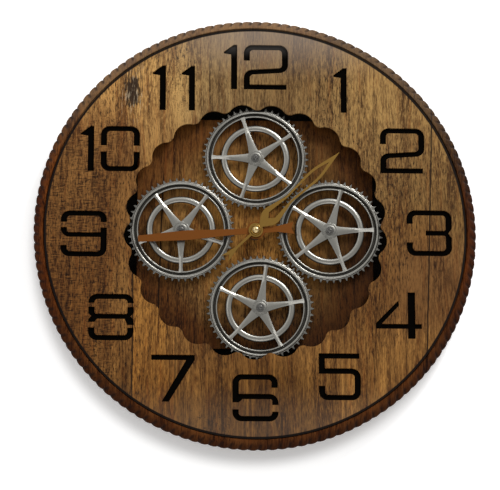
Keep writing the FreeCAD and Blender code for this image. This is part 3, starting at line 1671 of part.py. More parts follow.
def check_and_export():
    doc.recompute()
    for item in doc.Objects:
        if "Invalid" in item.State or "Error" in item.State:
            raise RuntimeError(f"{item.Name} failed: {item.State}")
        if item.TypeId in ("PartDesign::Pocket", "PartDesign::Groove"):
            before = item.BaseFeature.Shape.Volume
            if item.Shape.Volume >= before:
                raise RuntimeError(f"{item.Name} cuts nothing")
    for piece in PIECES:
        if piece.Shape.isNull() or not piece.Shape.isValid():
            raise RuntimeError(f"{piece.Label} has no valid shape")
    os.makedirs("parts", exist_ok=True)
    for piece in PIECES:
        piece.Shape.exportStep(f"parts/{piece.Label}.step")
        print(piece.Label, len(piece.Shape.Solids), round(piece.Shape.Volume, 1))


outer_rim()
side_band()
face_panel()
numeral_backing()
front_blocks()
inset_panel()
rear_blocks()
back_board()
flat_screw("back_screws", BACK_SCREW, d.back_screw_length, block_screw_places())
service_cover()
flat_screw("cover_screws", COVER_SCREW, d.cover_screw_length, cover_screw_places())
hanger_plate()
hanger_rivets()
front_gears()
gear_axles()
axle_nuts()
gear_fastenings()
hour_hand()
minute_hand()
hand_collar()
cap_nut()
movement()
drive()
check_and_export()
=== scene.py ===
import math

import bmesh
import bpy
from bpy.props import FloatProperty, FloatVectorProperty, IntProperty, PointerProperty
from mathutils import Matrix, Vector


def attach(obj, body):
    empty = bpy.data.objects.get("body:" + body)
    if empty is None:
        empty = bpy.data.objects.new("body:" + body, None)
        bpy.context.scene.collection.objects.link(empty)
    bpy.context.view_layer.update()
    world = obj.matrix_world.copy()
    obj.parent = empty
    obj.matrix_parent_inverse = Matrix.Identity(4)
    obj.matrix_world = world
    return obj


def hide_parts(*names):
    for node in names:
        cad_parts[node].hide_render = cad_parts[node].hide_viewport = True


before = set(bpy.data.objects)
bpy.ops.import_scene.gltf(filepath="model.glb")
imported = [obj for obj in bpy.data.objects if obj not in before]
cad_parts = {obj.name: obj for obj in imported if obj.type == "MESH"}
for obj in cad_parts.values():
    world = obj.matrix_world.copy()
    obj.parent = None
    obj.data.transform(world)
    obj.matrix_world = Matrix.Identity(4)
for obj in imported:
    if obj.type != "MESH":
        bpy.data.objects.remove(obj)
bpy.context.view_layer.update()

bl_info = {
    "name": "Wooden gear clock",
    "version": (1, 0, 0),
    "blender": (4, 5, 0),
    "location": "View3D > Sidebar > Gear Clock",
    "description": "Models the rim, gears, hands and hub of a wooden gear clock and finishes every piece",
    "category": "Add Mesh",
}

MM = 0.001
# how near counts as on a ring or line when vertices are picked, and how near two are merged, in metres
NEAR = 2e-5
MERGE = 1e-6
# how far a normal has to lean along an axis to count as facing it
FACING = 0.9


# Sizes and colours

def length(name, description, default):
    return FloatProperty(name=name, description=description, default=default, unit="LENGTH")


def colour(name, description, default):
    return FloatVectorProperty(
        name=name, description=description, default=default, subtype="COLOR", size=3, min=0, max=1)


class ClockSizes(bpy.types.PropertyGroup):
    rim_lobes: IntProperty(name="Rim lobes", description="Number of rounded lobes round the rim", default=140)
    lobe_depth: length("Lobe depth", "How deep the notches between the rim lobes are", 0.0026)
    teeth: IntProperty(name="Gear teeth", description="Teeth on each gear", default=50)
    spokes: IntProperty(name="Gear spokes", description="Spokes in each gear", default=5)
    spoke_root: length("Spoke root", "How much wider each side of a spoke is at the hub", 0.0042)
    spoke_tip: length("Spoke tip", "Half width of a spoke at the ring", 0.0021)
    camera_distance: length("Camera distance", "From the camera to the dial", 4.0)


class ClockColours(bpy.types.PropertyGroup):
    honey: colour("Honey wood", "Palest streaks of the planks", (0.50, 0.262, 0.078))
    russet: colour("Russet wood", "Reddish parts of the planks", (0.120, 0.047, 0.013))
    umber: colour("Umber wood", "Dark streaks and checks", (0.016, 0.0065, 0.0026))
    pewter: colour("Pewter", "Polished high parts of the gears", (0.37, 0.36, 0.325))
    tarnish: colour("Tarnish", "Dull low parts of the gears", (0.050, 0.046, 0.040))
    bronze: colour("Bronze", "Hour hand", (0.215, 0.074, 0.017))
    gold: colour("Gold", "Minute hand and collar", (0.26, 0.150, 0.036))


# Modelling helpers

def clear_selection():
    if bpy.context.object and bpy.context.object.mode != "OBJECT":
        bpy.ops.object.mode_set(mode="OBJECT")
    bpy.ops.object.select_all(action="DESELECT")
    bpy.context.view_layer.objects.active = None


def activate(*pieces):
    clear_selection()
    for piece in pieces:
        piece.select_set(True)
    bpy.context.view_layer.objects.active = pieces[0]
    return pieces[0]


def settle(piece, name):
    activate(piece)
    bpy.ops.object.transform_apply(location=True, rotation=True, scale=True)
    piece.name = name
    piece.data.name = name
    return piece


def select_where(kind, test):
    mesh = bmesh.from_edit_mesh(bpy.context.object.data)
    bpy.ops.mesh.select_all(action="DESELECT")
    items = {"VERT": mesh.verts, "EDGE": mesh.edges, "FACE": mesh.faces}[kind]
    for item in items:
        if test(item):
            item.select_set(True)
    mesh.select_flush_mode()
    bmesh.update_edit_mesh(bpy.context.object.data)


def outward():
    bpy.ops.mesh.select_all(action="SELECT")
    bpy.ops.mesh.remove_doubles(threshold=MERGE)
    bpy.ops.mesh.normals_make_consistent(inside=False)
    bpy.ops.object.mode_set(mode="OBJECT")


def smooth(piece, degrees):
    activate(piece)
    bpy.ops.object.shade_smooth_by_angle(angle=math.radians(degrees))


# A closed or capped form turned about the hands' axis. Each point is radius and depth in mm.
def turned(name, points, segments, closed=False):
    clear_selection()
    radius, depth = points[0]
    bpy.ops.mesh.primitive_circle_add(
        vertices=segments, radius=radius * MM, location=(0, -depth * MM, 0), rotation=(math.pi / 2, 0, 0))
    piece = settle(bpy.context.object, name)
    bpy.ops.object.mode_set(mode="EDIT")
    bpy.ops.mesh.select_mode(type="EDGE")
    bpy.ops.mesh.select_all(action="SELECT")
    for new_radius, new_depth in points[1:]:
        step = (0, (depth - new_depth) * MM, 0)
        bpy.ops.mesh.extrude_region_move(TRANSFORM_OT_translate={"value": step})
        if new_radius == 0:
            bpy.ops.mesh.merge(type="CENTER")
            break
        if new_radius != radius:
            ratio = new_radius / radius
            bpy.ops.transform.resize(value=(ratio, 1, ratio), center_override=(0, -new_depth * MM, 0))
        radius, depth = new_radius, new_depth
    if not closed:
        bpy.ops.mesh.select_all(action="DESELECT")
        bpy.ops.mesh.select_non_manifold()
        bpy.ops.mesh.edge_face_add()
    outward()
    return piece


def turn_about_axis(piece, degrees):
    activate(piece)
    bpy.ops.object.mode_set(mode="EDIT")
    bpy.ops.mesh.select_all(action="SELECT")
    bpy.ops.transform.rotate(value=math.radians(degrees), orient_axis="Y", center_override=(0, 0, 0))
    bpy.ops.object.mode_set(mode="OBJECT")


def twin(piece, name):
    activate(piece)
    bpy.ops.object.duplicate(linked=False)
    return settle(bpy.context.object, name)


def shift(piece, x, z):
    activate(piece)
    bpy.ops.object.mode_set(mode="EDIT")
    bpy.ops.mesh.select_all(action="SELECT")
    bpy.ops.transform.translate(value=(x, 0, z))
    bpy.ops.object.mode_set(mode="OBJECT")


def around(piece, count):
    clear_selection()
    bpy.ops.object.empty_add(location=(0, 0, 0), rotation=(0, -2 * math.pi / count, 0))
    pivot = bpy.context.object
    array = piece.modifiers.new("round", "ARRAY")
    array.count = count
    array.use_relative_offset = False
    array.use_object_offset = True
    array.offset_object = pivot
    activate(piece)
    bpy.ops.object.modifier_apply(modifier=array.name)
    activate(pivot)
    bpy.ops.object.delete()
    return piece


def joined(pieces, name):
    first = activate(*pieces)
    bpy.ops.object.join()
    return settle(first, name)


# Shader helpers

class Net:
    def __init__(self, tree):
        self.tree = tree

    def add(self, kind, values=None, **settings):
        node = self.tree.nodes.new(kind)
        for key, value in settings.items():
            setattr(node, key, value)
        for key, value in (values or {}).items():
            if isinstance(value, bpy.types.NodeSocket):
                self.tree.links.new(value, node.inputs[key])
            else:
                node.inputs[key].default_value = value
        return node

    def math(self, operation, a, b=0.0, c=0.0):
        return self.add("ShaderNodeMath", {0: a, 1: b, 2: c}, operation=operation).outputs[0]

    def times(self, a, b):
        return self.math("MULTIPLY", a, b)

    def blend(self, factor, a, b, mode="MIX"):
        node = self.add("ShaderNodeMix", data_type="RGBA", blend_type=mode)
        for socket, value in ((node.inputs[0], factor), (node.inputs[6], a), (node.inputs[7], b)):
            if isinstance(value, bpy.types.NodeSocket):
                self.tree.links.new(value, socket)
            elif isinstance(value, (int, float)):
                socket.default_value = value
            else:
                socket.default_value = (*value[:3], 1)
        return node.outputs[2]

    def scaled(self, vector, x, y, z):
        return self.add("ShaderNodeVectorMath", {0: vector, 1: (x, y, z)}, operation="MULTIPLY").outputs[0]

    def noise(self, vector, scale, detail=4.0, rough=0.55, distortion=0.0):
        node = self.add("ShaderNodeTexNoise", {
            "Vector": vector, "Scale": scale, "Detail": detail, "Roughness": rough, "Distortion": distortion})
        return node.outputs[0]

    # A soft step from 0 to 1 as the value goes from low to high
    def step(self, value, low, high):
        node = self.add("ShaderNodeMapRange", {0: value, 1: low, 2: high}, interpolation_type="SMOOTHSTEP")
        return node.outputs[0]

    def parts(self, vector):
        return self.add("ShaderNodeSeparateXYZ", {0: vector}).outputs

    # Distance from the middle, for a place across and up from it
    def reach(self, across, up):
        return self.math("SQRT", self.math("MULTIPLY_ADD", across, across, self.times(up, up)))


def new_group(name, inputs, outputs):
    tree = bpy.data.node_groups.new(name, "ShaderNodeTree")
    for label, kind, default in inputs:
        socket = tree.interface.new_socket(label, in_out="INPUT", socket_type=kind)
        if default is not None:
            socket.default_value = default
    for label, kind in outputs:
        tree.interface.new_socket(label, in_out="OUTPUT", socket_type=kind)
    net = Net(tree)
    return net, net.add("NodeGroupInput").outputs, net.add("NodeGroupOutput").inputs


VECTOR, FLOAT, COLOUR = "NodeSocketVector", "NodeSocketFloat", "NodeSocketColor"


def give(net, sockets, **values):
    for name, value in values.items():
        net.tree.links.new(value, sockets[name])


# Grain noises: how often they vary per metre across and up the plank, then detail and roughness
GRAIN = {
    "fine": (560, 70, 5, 0.66), "streak": (150, 9, 4, 0.6), "broad": (26, 5, 3, 0.55),
    "fibre": (760, 115, 3, 0.7), "amber": (190, 11, 3, 0.6), "sunlit": (330, 13, 4, 0.62),
    "mottle": (470, 100, 4, 0.7), "crossing": (90, 620, 3, 0.6), "ragged": (340, 70, 4, 0.7),
    "splinter": (430, 45, 3, 0.7), "strip": (170, 6, 4, 0.6),
}
TONE_SHARES = (("fine", 0.40), ("streak", 0.30), ("broad", 0.30))
AMBER = (0.30, 0.112, 0.026)

# Seams between planks: x at the middle, lean, lower end, upper end, strength
SEAMS = ((0.2357, 0.0325, -0.3, 0.3, 1.0), (-0.1652, 0.0, -0.235, -0.04, 1.0),
         (-0.1079, 0.0, -0.26, -0.1, 0.6), (-0.0452, 0.0, -0.28, -0.13, 0.7))
SEAM_FADE = 0.02
SEAM_WAVE = 0.0016
SEAM_EDGE = (0.0013, 0.0006)
SEAM_COLOUR = (0.012, 0.006, 0.003)

# The knot: its place, how tight it is across and up, and its heart, splinters and the streaks above it
KNOT_PLACE = (-0.168, 0.195)
KNOT_TIGHTNESS = (62.0, 31.0)
KNOT_HEART = (0.012, 0.007, 0.005)
KNOT_SPLINTERS = (0.56, 0.41, 0.25)
KNOT_STREAKS = (0.030, 0.022, 0.016)


def grain(net, place, name):
    across, up, detail, rough = GRAIN[name]
    return net.noise(net.scaled(place, across, 1, up), 1.0, detail, rough)


def seam_lines(net, place, x, z):
    wave = net.math("SUBTRACT", net.noise(net.scaled(place, 3, 3, 40), 1.0, 3), 0.5)
    seams = None
    for foot, lean, low, high, strength in SEAMS:
        line = net.math("MULTIPLY_ADD", z, -lean, net.math("SUBTRACT", x, foot))
        line = net.math("ABSOLUTE", net.math("MULTIPLY_ADD", wave, SEAM_WAVE, line))
        seam = net.times(net.step(line, *SEAM_EDGE), strength)
        ends = net.times(net.step(z, low, low + SEAM_FADE), net.step(z, high, high - SEAM_FADE))
        seam = net.times(seam, ends)
        seams = seam if seams is None else net.math("MAXIMUM", seams, seam)
    return seams


# Upright planks: fine streaks, broad colour drift, dark checks, seams and a splintered knot
def plank_group():
    net, given, result = new_group(
        "Plank grain",
        [("Vector", VECTOR, None), ("Pale", COLOUR, (0.5, 0.3, 0.1, 1)), ("Warm", COLOUR, (0.2, 0.1, 0.04, 1)),
         ("Dark", COLOUR, (0.04, 0.02, 0.01, 1)), ("Checks", FLOAT, 1.0)],
        [("Color", COLOUR), ("Roughness", FLOAT), ("Height", FLOAT)])
    place, checked = given["Vector"], given["Checks"]
    dark, pale = given["Dark"], given["Pale"]

    x, _, z = net.parts(place)[:3]
    # the grain wanders a little from side to side
    wander = net.noise(net.scaled(place, 5, 5, 2.2), 1.0, 3)
    bent = net.math("MULTIPLY_ADD", net.math("SUBTRACT", wander, 0.5), 0.035, x)
    grain_place = net.add("ShaderNodeCombineXYZ", {0: bent, 1: 0.0, 2: z}).outputs[0]
    layers = {name: grain(net, grain_place, name) for name in ("fine", "streak", "broad", "fibre")}
    fine, streak, fibre = layers["fine"], layers["streak"], layers["fibre"]
    # ground tone, warm blotches and dark streaks
    mixed = 0.0
    for name, share in TONE_SHARES:
        mixed = net.math("MULTIPLY_ADD", layers[name], share, mixed)
    wood = net.blend(net.step(mixed, 0.405, 0.595), given["Warm"], pale)
    blotch = net.noise(net.scaled(place, 15, 15, 9), 1.0, 4, 0.6, 0.6)
    wood = net.blend(net.times(net.step(blotch, 0.50, 0.72), 0.55), wood, given["Warm"])
    wood = net.blend(net.times(net.step(streak, 0.44, 0.33), 0.45), wood, dark)
    # dark fibres are strongest in rough patches and down the left
    rough_part = net.step(net.noise(net.scaled(place, 8, 8, 4.5), 1.0, 3), 0.42, 0.60)
    rough_part = net.math("MULTIPLY_ADD", rough_part, 0.58, 0.42)
    far_left = net.times(net.step(x, -0.09, -0.18), net.step(z, 0.15, 0.07))
    rough_part = net.math("MAXIMUM", rough_part, net.times(far_left, checked))
    wood = net.blend(net.times(net.step(fibre, 0.48, 0.34), net.times(rough_part, 0.8)), wood, dark)
    # amber and pale streaks
    wood = net.blend(net.times(net.step(grain(net, grain_place, "amber"), 0.53, 0.66), 0.5), wood, AMBER)
    wood = net.blend(net.times(net.step(grain(net, grain_place, "sunlit"), 0.55, 0.66), 0.55), wood, pale)
    wood = net.blend(net.times(net.step(fibre, 0.56, 0.68), 0.5), wood, pale)
    mottle = grain(net, place, "mottle")
    wood = net.blend(net.times(net.step(mottle, 0.49, 0.36), net.times(rough_part, 0.95)), wood, dark)
    wood = net.blend(net.times(net.step(mottle, 0.54, 0.64), 0.62), wood, pale)
    # short cross checks, only where the wood is worn
    check = net.noise(net.scaled(place, 260, 1, 420), 1.0, 2, 0.5, 0.4)
    worn = net.step(net.noise(net.scaled(place, 9, 9, 6), 1.0, 2), 0.50, 0.62)
    checks = net.times(net.step(check, 0.40, 0.33), net.times(worn, checked))
    wood = net.blend(net.times(checks, 0.7), wood, dark)
    # crossed scratches on the dark plank at the far left
    crossing = grain(net, place, "crossing")
    scratched = net.times(net.times(net.step(x, -0.175, -0.205), net.step(z, 0.17, 0.12)), checked)
    wood = net.blend(net.times(net.step(crossing, 0.47, 0.37), net.times(scratched, 0.75)), wood, dark)
    wood = net.blend(net.times(net.step(crossing, 0.56, 0.66), net.times(scratched, 0.65)), wood, pale)
    seams = seam_lines(net, place, x, z)
    wood = net.blend(net.times(seams, 0.9), wood, SEAM_COLOUR)
    # the knot, upper left
    across = net.times(net.math("SUBTRACT", x, KNOT_PLACE[0]), KNOT_TIGHTNESS[0])
    along = net.times(net.math("SUBTRACT", z, KNOT_PLACE[1]), KNOT_TIGHTNESS[1])
    away = net.reach(across, along)
    away = net.math("MULTIPLY_ADD", net.math("SUBTRACT", grain(net, place, "ragged"), 0.5), 2.0, away)
    knot = net.times(net.step(away, 0.80, 0.50), checked)
    wood = net.blend(net.times(knot, 0.93), wood, KNOT_HEART)
    splinter = grain(net, place, "splinter")
    near = net.times(net.step(away, 1.7, 0.6), checked)
    wood = net.blend(net.times(net.step(splinter, 0.56, 0.66), net.times(near, 0.6)), wood, KNOT_SPLINTERS)
    above = net.times(net.step(net.math("ABSOLUTE", across), 1.1, 0.5), net.step(along, 0.2, 0.8))
    above = net.times(net.times(above, net.step(splinter, 0.50, 0.42)), checked)
    wood = net.blend(net.times(above, 0.75), wood, KNOT_STREAKS)
    rough = net.math("ADD", net.math("MULTIPLY_ADD", fine, 0.22, 0.36), net.times(checks, 0.2))
    height = net.math("SUBTRACT", net.math("ADD", fine, net.times(fibre, 0.6)), seams)
    height = net.math("SUBTRACT", height, net.times(checks, 0.6))
    give(net, result, Color=wood, Roughness=rough, Height=net.math("SUBTRACT", height, knot))
    return net.tree


# Tarnish that gathers low down, with polished high parts and fine handling marks
def tarnish_group():
    net, given, result = new_group(
        "Tarnish",
        [("Vector", VECTOR, None), ("Clean", COLOUR, (0.6, 0.6, 0.6, 1)), ("Dull", COLOUR, (0.1, 0.1, 0.1, 1)),
         ("Low", FLOAT, 0.0), ("High", FLOAT, 1.0), ("Shine", FLOAT, 0.25)],
        [("Color", COLOUR), ("Roughness", FLOAT), ("Height", FLOAT)])
    place = given["Vector"]
    depth = net.times(net.parts(place)[1], -1.0)
    speck = net.noise(place, 620, 4, 0.6)
    cloud = net.noise(place, 70, 4, 0.6)
    lift = net.math("DIVIDE", net.math("SUBTRACT", depth, given["Low"]),
                    net.math("SUBTRACT", given["High"], given["Low"]))
    lift = net.math("MULTIPLY_ADD", net.math("SUBTRACT", cloud, 0.5), 0.7, lift)
    clean = net.step(lift, 0.12, 0.78)
    shade = net.blend(clean, given["Dull"], given["Clean"])
    shade = net.blend(net.times(net.step(speck, 0.60, 0.72), 0.35), shade, given["Dull"])
    rough = net.math("MULTIPLY_ADD", net.math("SUBTRACT", 1.0, clean), 0.22, given["Shine"])
    give(net, result, Color=shade, Roughness=net.math("MULTIPLY_ADD", speck, 0.12, rough),
         Height=net.math("MULTIPLY_ADD", cloud, 0.5, speck))
    return net.tree


# Plain surfaces: mould grain, fine scratches or fibres, stretched along one way
def surface_group():
    net, given, result = new_group(
        "Surface grain",
        [("Vector", VECTOR, None), ("Base", COLOUR, (0.5, 0.5, 0.5, 1)), ("Fleck", COLOUR, (0.4, 0.4, 0.4, 1)),
         ("Amount", FLOAT, 0.4), ("Roughness", FLOAT, 0.5)],
        [("Color", COLOUR), ("Roughness", FLOAT), ("Height", FLOAT)])
    place = given["Vector"]
    fine = net.noise(place, 1.0, 5, 0.6)
    coarse = net.noise(net.scaled(place, 0.07, 0.07, 0.07), 1.0, 3, 0.5)
    amount = net.times(net.step(fine, 0.42, 0.66), given["Amount"])
    shade = net.blend(amount, given["Base"], given["Fleck"])
    amount = net.times(net.step(coarse, 0.45, 0.7), net.times(given["Amount"], 0.5))
    shade = net.blend(amount, shade, given["Fleck"])
    rough = net.math("SUBTRACT", given["Roughness"], 0.08)
    give(net, result, Color=shade, Roughness=net.math("MULTIPLY_ADD", fine, 0.16, rough), Height=fine)
    return net.tree


def blank_material(name):
    material = bpy.data.materials.new(name)
    material.use_nodes = True
    material.node_tree.nodes.clear()
    return material, Net(material.node_tree)


def start_material(name):
    material, net = blank_material(name)
    shader = net.add("ShaderNodeBsdfPrincipled")
    net.add("ShaderNodeOutputMaterial", {0: shader.outputs[0]})
    return material, net, shader


def place_of(net, scale=(1, 1, 1), offset=(0, 0, 0)):
    coordinates = net.add("ShaderNodeTexCoord").outputs["Object"]
    return net.add("ShaderNodeMapping", {0: coordinates, 1: offset, 3: scale}).outputs[0]


def effect(net, group, **values):
    node = net.add("ShaderNodeGroup", node_tree=bpy.data.node_groups[group])
    for name, value in values.items():
        if isinstance(value, bpy.types.NodeSocket):
            net.tree.links.new(value, node.inputs[name])
        elif hasattr(value, "__len__") and len(value) == 3:
            node.inputs[name].default_value = (*value, 1)
        else:
            node.inputs[name].default_value = value
    return node.outputs


COAT_ROUGHNESS = 0.3


# The look gives roughness and height; strength and distance are the bump's
def finish_surface(net, shader, shade, look, strength, distance, metallic=0.0, coat=0.0, specular=0.5):
    net.tree.links.new(shade, shader.inputs["Base Color"])
    net.tree.links.new(look["Roughness"], shader.inputs["Roughness"])
    shader.inputs["Metallic"].default_value = metallic
    shader.inputs["Coat Weight"].default_value = coat
    shader.inputs["Coat Roughness"].default_value = COAT_ROUGHNESS
    shader.inputs["Specular IOR Level"].default_value = specular
    bump = net.add("ShaderNodeBump", {"Strength": strength, "Distance": distance, "Height": look["Height"]})
    net.tree.links.new(bump.outputs[0], shader.inputs["Normal"])


def darker(shade, factor):
    return [part * factor for part in shade]


# Plank grain in the clock's wood colours, each taken times its factor
def planks(net, place, colours, pale, warm, dark, checks):
    return effect(net, "Plank grain", Vector=place, Pale=darker(colours.honey, pale),
                  Warm=darker(colours.russet, warm), Dark=darker(colours.umber, dark), Checks=checks)


# Colour drifts and painted light and shade over a wood. Each row has its strength, its colour factors,
# and the steps that must all hold: which measure, where it begins and where it is full.
def toned(net, shade, measures, rows):
    for strength, factors, *steps in rows:
        mask = strength
        for measure, begins, full in steps:
            mask = net.times(net.step(measures[measure], begins, full), mask)
        shade = net.blend(mask, shade, factors, "MULTIPLY")
    return shade


# height and across are z and x with a slow waver, slope is height less x, strip a noise of upright strips
FACE_TONES = (
    (1.0, (0.72, 0.64, 0.55), ("height", 0.10, -0.16)),
    (0.8, (1.45, 1.52, 1.55), ("height", 0.05, 0.22)),
    (0.5, (0.80, 0.68, 0.60), ("across", -0.10, -0.24)),
    (1.0, (1.33, 1.42, 1.54), ("across", 0.04, -0.10), ("height", 0.03, 0.15)),
    (1.0, (0.80, 0.76, 0.70), ("slope", 0.02, -0.24)),
    (1.0, (0.54, 0.58, 0.68), ("off centre", 0.15, 0.05), ("z", 0.10, 0.15)),
    (1.0, (0.74, 0.72, 0.62), ("height", -0.16, -0.24), ("x", 0.16, 0.05)),
    (1.0, (0.81, 0.80, 0.94), ("x", 0.15, 0.21), ("z", 0.01, -0.05), ("z", -0.17, -0.11)),
    (0.9, (0.78, 0.72, 0.68), ("across", -0.185, -0.215), ("z", 0.21, 0.15)),
    # dark and pale strips low down
    (0.65, (0.52, 0.46, 0.42), ("strip", 0.48, 0.38), ("height", -0.05, -0.13)),
    (0.65, (1.66, 1.70, 1.66), ("strip", 0.52, 0.62), ("height", -0.05, -0.13)),
    (1.0, (1.40, 1.50, 1.62), ("x", 0.0, 0.09), ("z", -0.11, -0.16)),
    # the golden plank right of the left seam
    (1.0, (1.45, 1.40, 1.15), ("x", -0.1655, -0.1645), ("across", -0.08, -0.10), ("z", -0.03, -0.06)),
    (1.0, (0.86, 0.93, 1.02), ("x", 0.05, 0.13), ("height", 0.0, 0.08)),
)
# painted glare: a pale veil over the top and foot of the face, and the middle it spreads from
PAINTED_GLARE = (0.44, 0.36, 0.30)
PAINTED_GLARE_MIDDLE = 0.03
# painted shade: black in the groove between the face and the rim
GROOVE_SHADE_EDGE = (0.2824, 0.2833)
GROOVE_SHADE_COLOUR = (0.003, 0.0014, 0.001)


# Planks of the face: paler towards the upper left, darker low down, far left and at the top middle, with
# a painted glare, a pale veil, at the top and foot and painted black shade in the groove at the edge
def face_wood(colours):
    material, net, shader = start_material("face planks")
    place = place_of(net)
    wood = planks(net, place, colours, pale=1, warm=1, dark=1, checks=1.0)
    x, _, z = net.parts(place)[:3]
    waver = net.noise(net.scaled(place, 5, 5, 3), 1.0, 2)
    waver = net.times(net.math("SUBTRACT", waver, 0.5), 0.3)
    height = net.math("ADD", z, waver)
    measures = {
        "x": x, "z": z, "height": height, "across": net.math("ADD", x, waver),
        "slope": net.math("SUBTRACT", height, x), "off centre": net.math("ABSOLUTE", x),
        "strip": grain(net, place, "strip")}
    shade = toned(net, wood["Color"], measures, FACE_TONES)
    # painted glare, pale, at the top middle and at the foot
    beside = net.math("ABSOLUTE", net.math("SUBTRACT", x, PAINTED_GLARE_MIDDLE))
    high = net.times(net.step(z, 0.205, 0.285), net.step(beside, 0.20, 0.05))
    foot = net.times(net.step(z, -0.20, -0.275), 0.2)
    shade = net.blend(net.times(net.math("MAXIMUM", high, foot), 0.5), shade, PAINTED_GLARE)
    # painted shade, black, in the groove at the face's edge
    edge = net.step(net.reach(x, z), *GROOVE_SHADE_EDGE)
    shade = net.blend(net.times(edge, 0.98), shade, GROOVE_SHADE_COLOUR)
    finish_surface(net, shader, shade, wood, strength=0.25, distance=0.0006, specular=0.12)
    return material


# fall is z less x with a ragged edge
# all rows are painted light and shade: painted shadow under the face's edge, painted shade at the right and
# lower right, painted light at the upper left and a painted pool of golden light round the hub
PANEL_LIGHT_AND_SHADE = (
    (1.0, (0.44, 0.31, 0.22), ("ragged reach", 0.095, 0.160)),
    (1.0, (0.78, 0.76, 0.72), ("x", -0.02, 0.10)),
    (1.0, (1.40, 1.44, 1.42), ("fall", 0.02, 0.20)),
    (1.0, (0.62, 0.58, 0.54), ("fall", 0.0, -0.20)),
    (0.9, (1.55, 1.40, 1.02), ("reach", 0.13, 0.05)),
)
PANEL_PLANK_SHIFT = (0.37, 0, 0.21)


# Planks of the inset panel, with painted light and shade: a painted pool of golden light round the hub,
# painted shadow under the face's edge, painted shade at the right and lower right, lighter at the upper left
def panel_wood(colours):
    material, net, shader = start_material("panel planks")
    place = place_of(net, offset=PANEL_PLANK_SHIFT)
    wood = planks(net, place, colours, pale=0.72, warm=0.75, dark=0.7, checks=0.2)
    x, _, z = net.parts(place_of(net))[:3]
    reach = net.reach(x, z)
    ragged = net.noise(net.scaled(place, 12, 12, 7), 1.0, 3)
    ragged = net.times(net.math("SUBTRACT", ragged, 0.5), 0.09)
    fall = net.math("ADD", net.math("SUBTRACT", z, x), net.times(ragged, 0.6))
    measures = {"x": x, "reach": reach, "ragged reach": net.math("ADD", reach, ragged), "fall": fall}
    shade = toned(net, wood["Color"], measures, PANEL_LIGHT_AND_SHADE)
    finish_surface(net, shader, shade, wood, strength=0.25, distance=0.0006, specular=0.08)
    return material


# The card shows black through the numerals, with a grey painted highlight, a sheen, at the top of the 12
def black_card():
    material, net, shader = start_material("black card")
    place = place_of(net)
    dust = net.noise(net.scaled(place, 700, 700, 700), 1.0, 3)
    shade = net.blend(dust, (0.0020, 0.0017, 0.0014), (0.0045, 0.0038, 0.0030))
    # painted highlight: the black turns grey at the top of the 12
    sheen = net.step(net.parts(place)[2], 0.243, 0.270)
    shade = net.blend(net.times(sheen, 0.85), shade, (0.080, 0.074, 0.070))
    look = {"Roughness": net.math("MULTIPLY_ADD", dust, 0.2, 0.7), "Height": dust}
    finish_surface(net, shader, shade, look, strength=0.1, distance=0.0002, specular=0.0)
    return material


RIM_SLOPE = (0.046, 0.016, 0.0065)
# factor below a line that sinks to the right
RIM_LOW = (0.62, 0.325, 0.185)
RIM_TONES = (
    (1.0, (0.60, 0.58, 0.62), ("x", 0.10, 0.26), ("off middle", 0.24, 0.12)),
    (1.0, (0.76, 0.92, 1.30), ("z", -0.04, -0.17)),
)
# painted highlight: grey-brown over the top of the rim
RIM_TOP_HIGHLIGHT = (0.24, 0.150, 0.092)
RIM_SHOULDER = ((1.0, (0.58, 0.60, 0.62), ("x", 0.05, 0.13), ("z", 0.03, 0.10)),)
# painted shade: dark in the notches between the lobes
RIM_NOTCH_SHADE = (0.016, 0.006, 0.003)
# painted shade: near-black on the rim's inside, in the groove
RIM_GROOVE_SHADE = (0.004, 0.0018, 0.001)
# how much the notches lean with depth, in lobes per metre, and where the first one starts
NOTCH_LEAN, NOTCH_START = 44.4, 2.217


# The rim has the face's grain, darker and redder low down and on its outer slope, a grey-brown painted
# highlight at the top, and painted shade dark in the notches between its lobes and on its inside in the groove
def rim_wood(colours, lobes):
    material, net, shader = start_material("rim wood")
    place = place_of(net)
    wood = planks(net, place, colours, pale=0.75, warm=0.8, dark=0.8, checks=0.0)
    x, y, z = net.parts(place)[:3]
    reach = net.reach(x, z)
    low = net.step(net.math("MULTIPLY_ADD", net.math("MAXIMUM", x, 0.0), 0.2, z), 0.24, 0.06)
    outer = net.times(net.step(reach, 0.288, 0.298), net.math("MULTIPLY_ADD", low, 0.45, 0.2))
    shade = net.blend(outer, wood["Color"], RIM_SLOPE)
    shade = net.blend(low, shade, RIM_LOW, "MULTIPLY")
    measures = {"x": x, "z": z, "off middle": net.math("ABSOLUTE", z)}
    shade = toned(net, shade, measures, RIM_TONES)
    # painted highlight, grey-brown, over the top of the rim
    shade = net.blend(net.times(net.step(z, 0.10, 0.24), 0.5), shade, RIM_TOP_HIGHLIGHT)
    shade = toned(net, shade, measures, RIM_SHOULDER)
    turn = net.times(net.math("ARCTAN2", z, x), lobes / (2 * math.pi))
    turn = net.math("ADD", turn, net.math("MULTIPLY_ADD", y, NOTCH_LEAN, NOTCH_START))
    # painted shade, dark, in the notches between the lobes
    notch = net.math("ABSOLUTE", net.math("MULTIPLY_ADD", net.math("FRACT", turn), 2.0, -1.0))
    notch = net.times(net.step(notch, 0.45, 0.95), net.step(reach, 0.2900, 0.2945))
    shade = net.blend(net.times(notch, 0.72), shade, RIM_NOTCH_SHADE)
    # painted shade, near-black, on the rim's inside in the groove
    inside = net.step(reach, 0.2848, 0.2839)
    shade = net.blend(net.times(inside, 0.95), shade, RIM_GROOVE_SHADE)
    finish_surface(net, shader, shade, wood, strength=0.3, distance=0.0006, specular=0.05)
    return material


# A metal with its tarnish between two heights over the wall, in mm
def metal(name, clean, dull, low, high, shine):
    material, net, shader = start_material(name)
    look = effect(net, "Tarnish", Vector=place_of(net), Clean=clean, Dull=dull, Low=low * MM, High=high * MM,
                  Shine=shine)
    finish_surface(net, shader, look["Color"], look, strength=0.15, distance=0.0002, metallic=1.0)
    return material


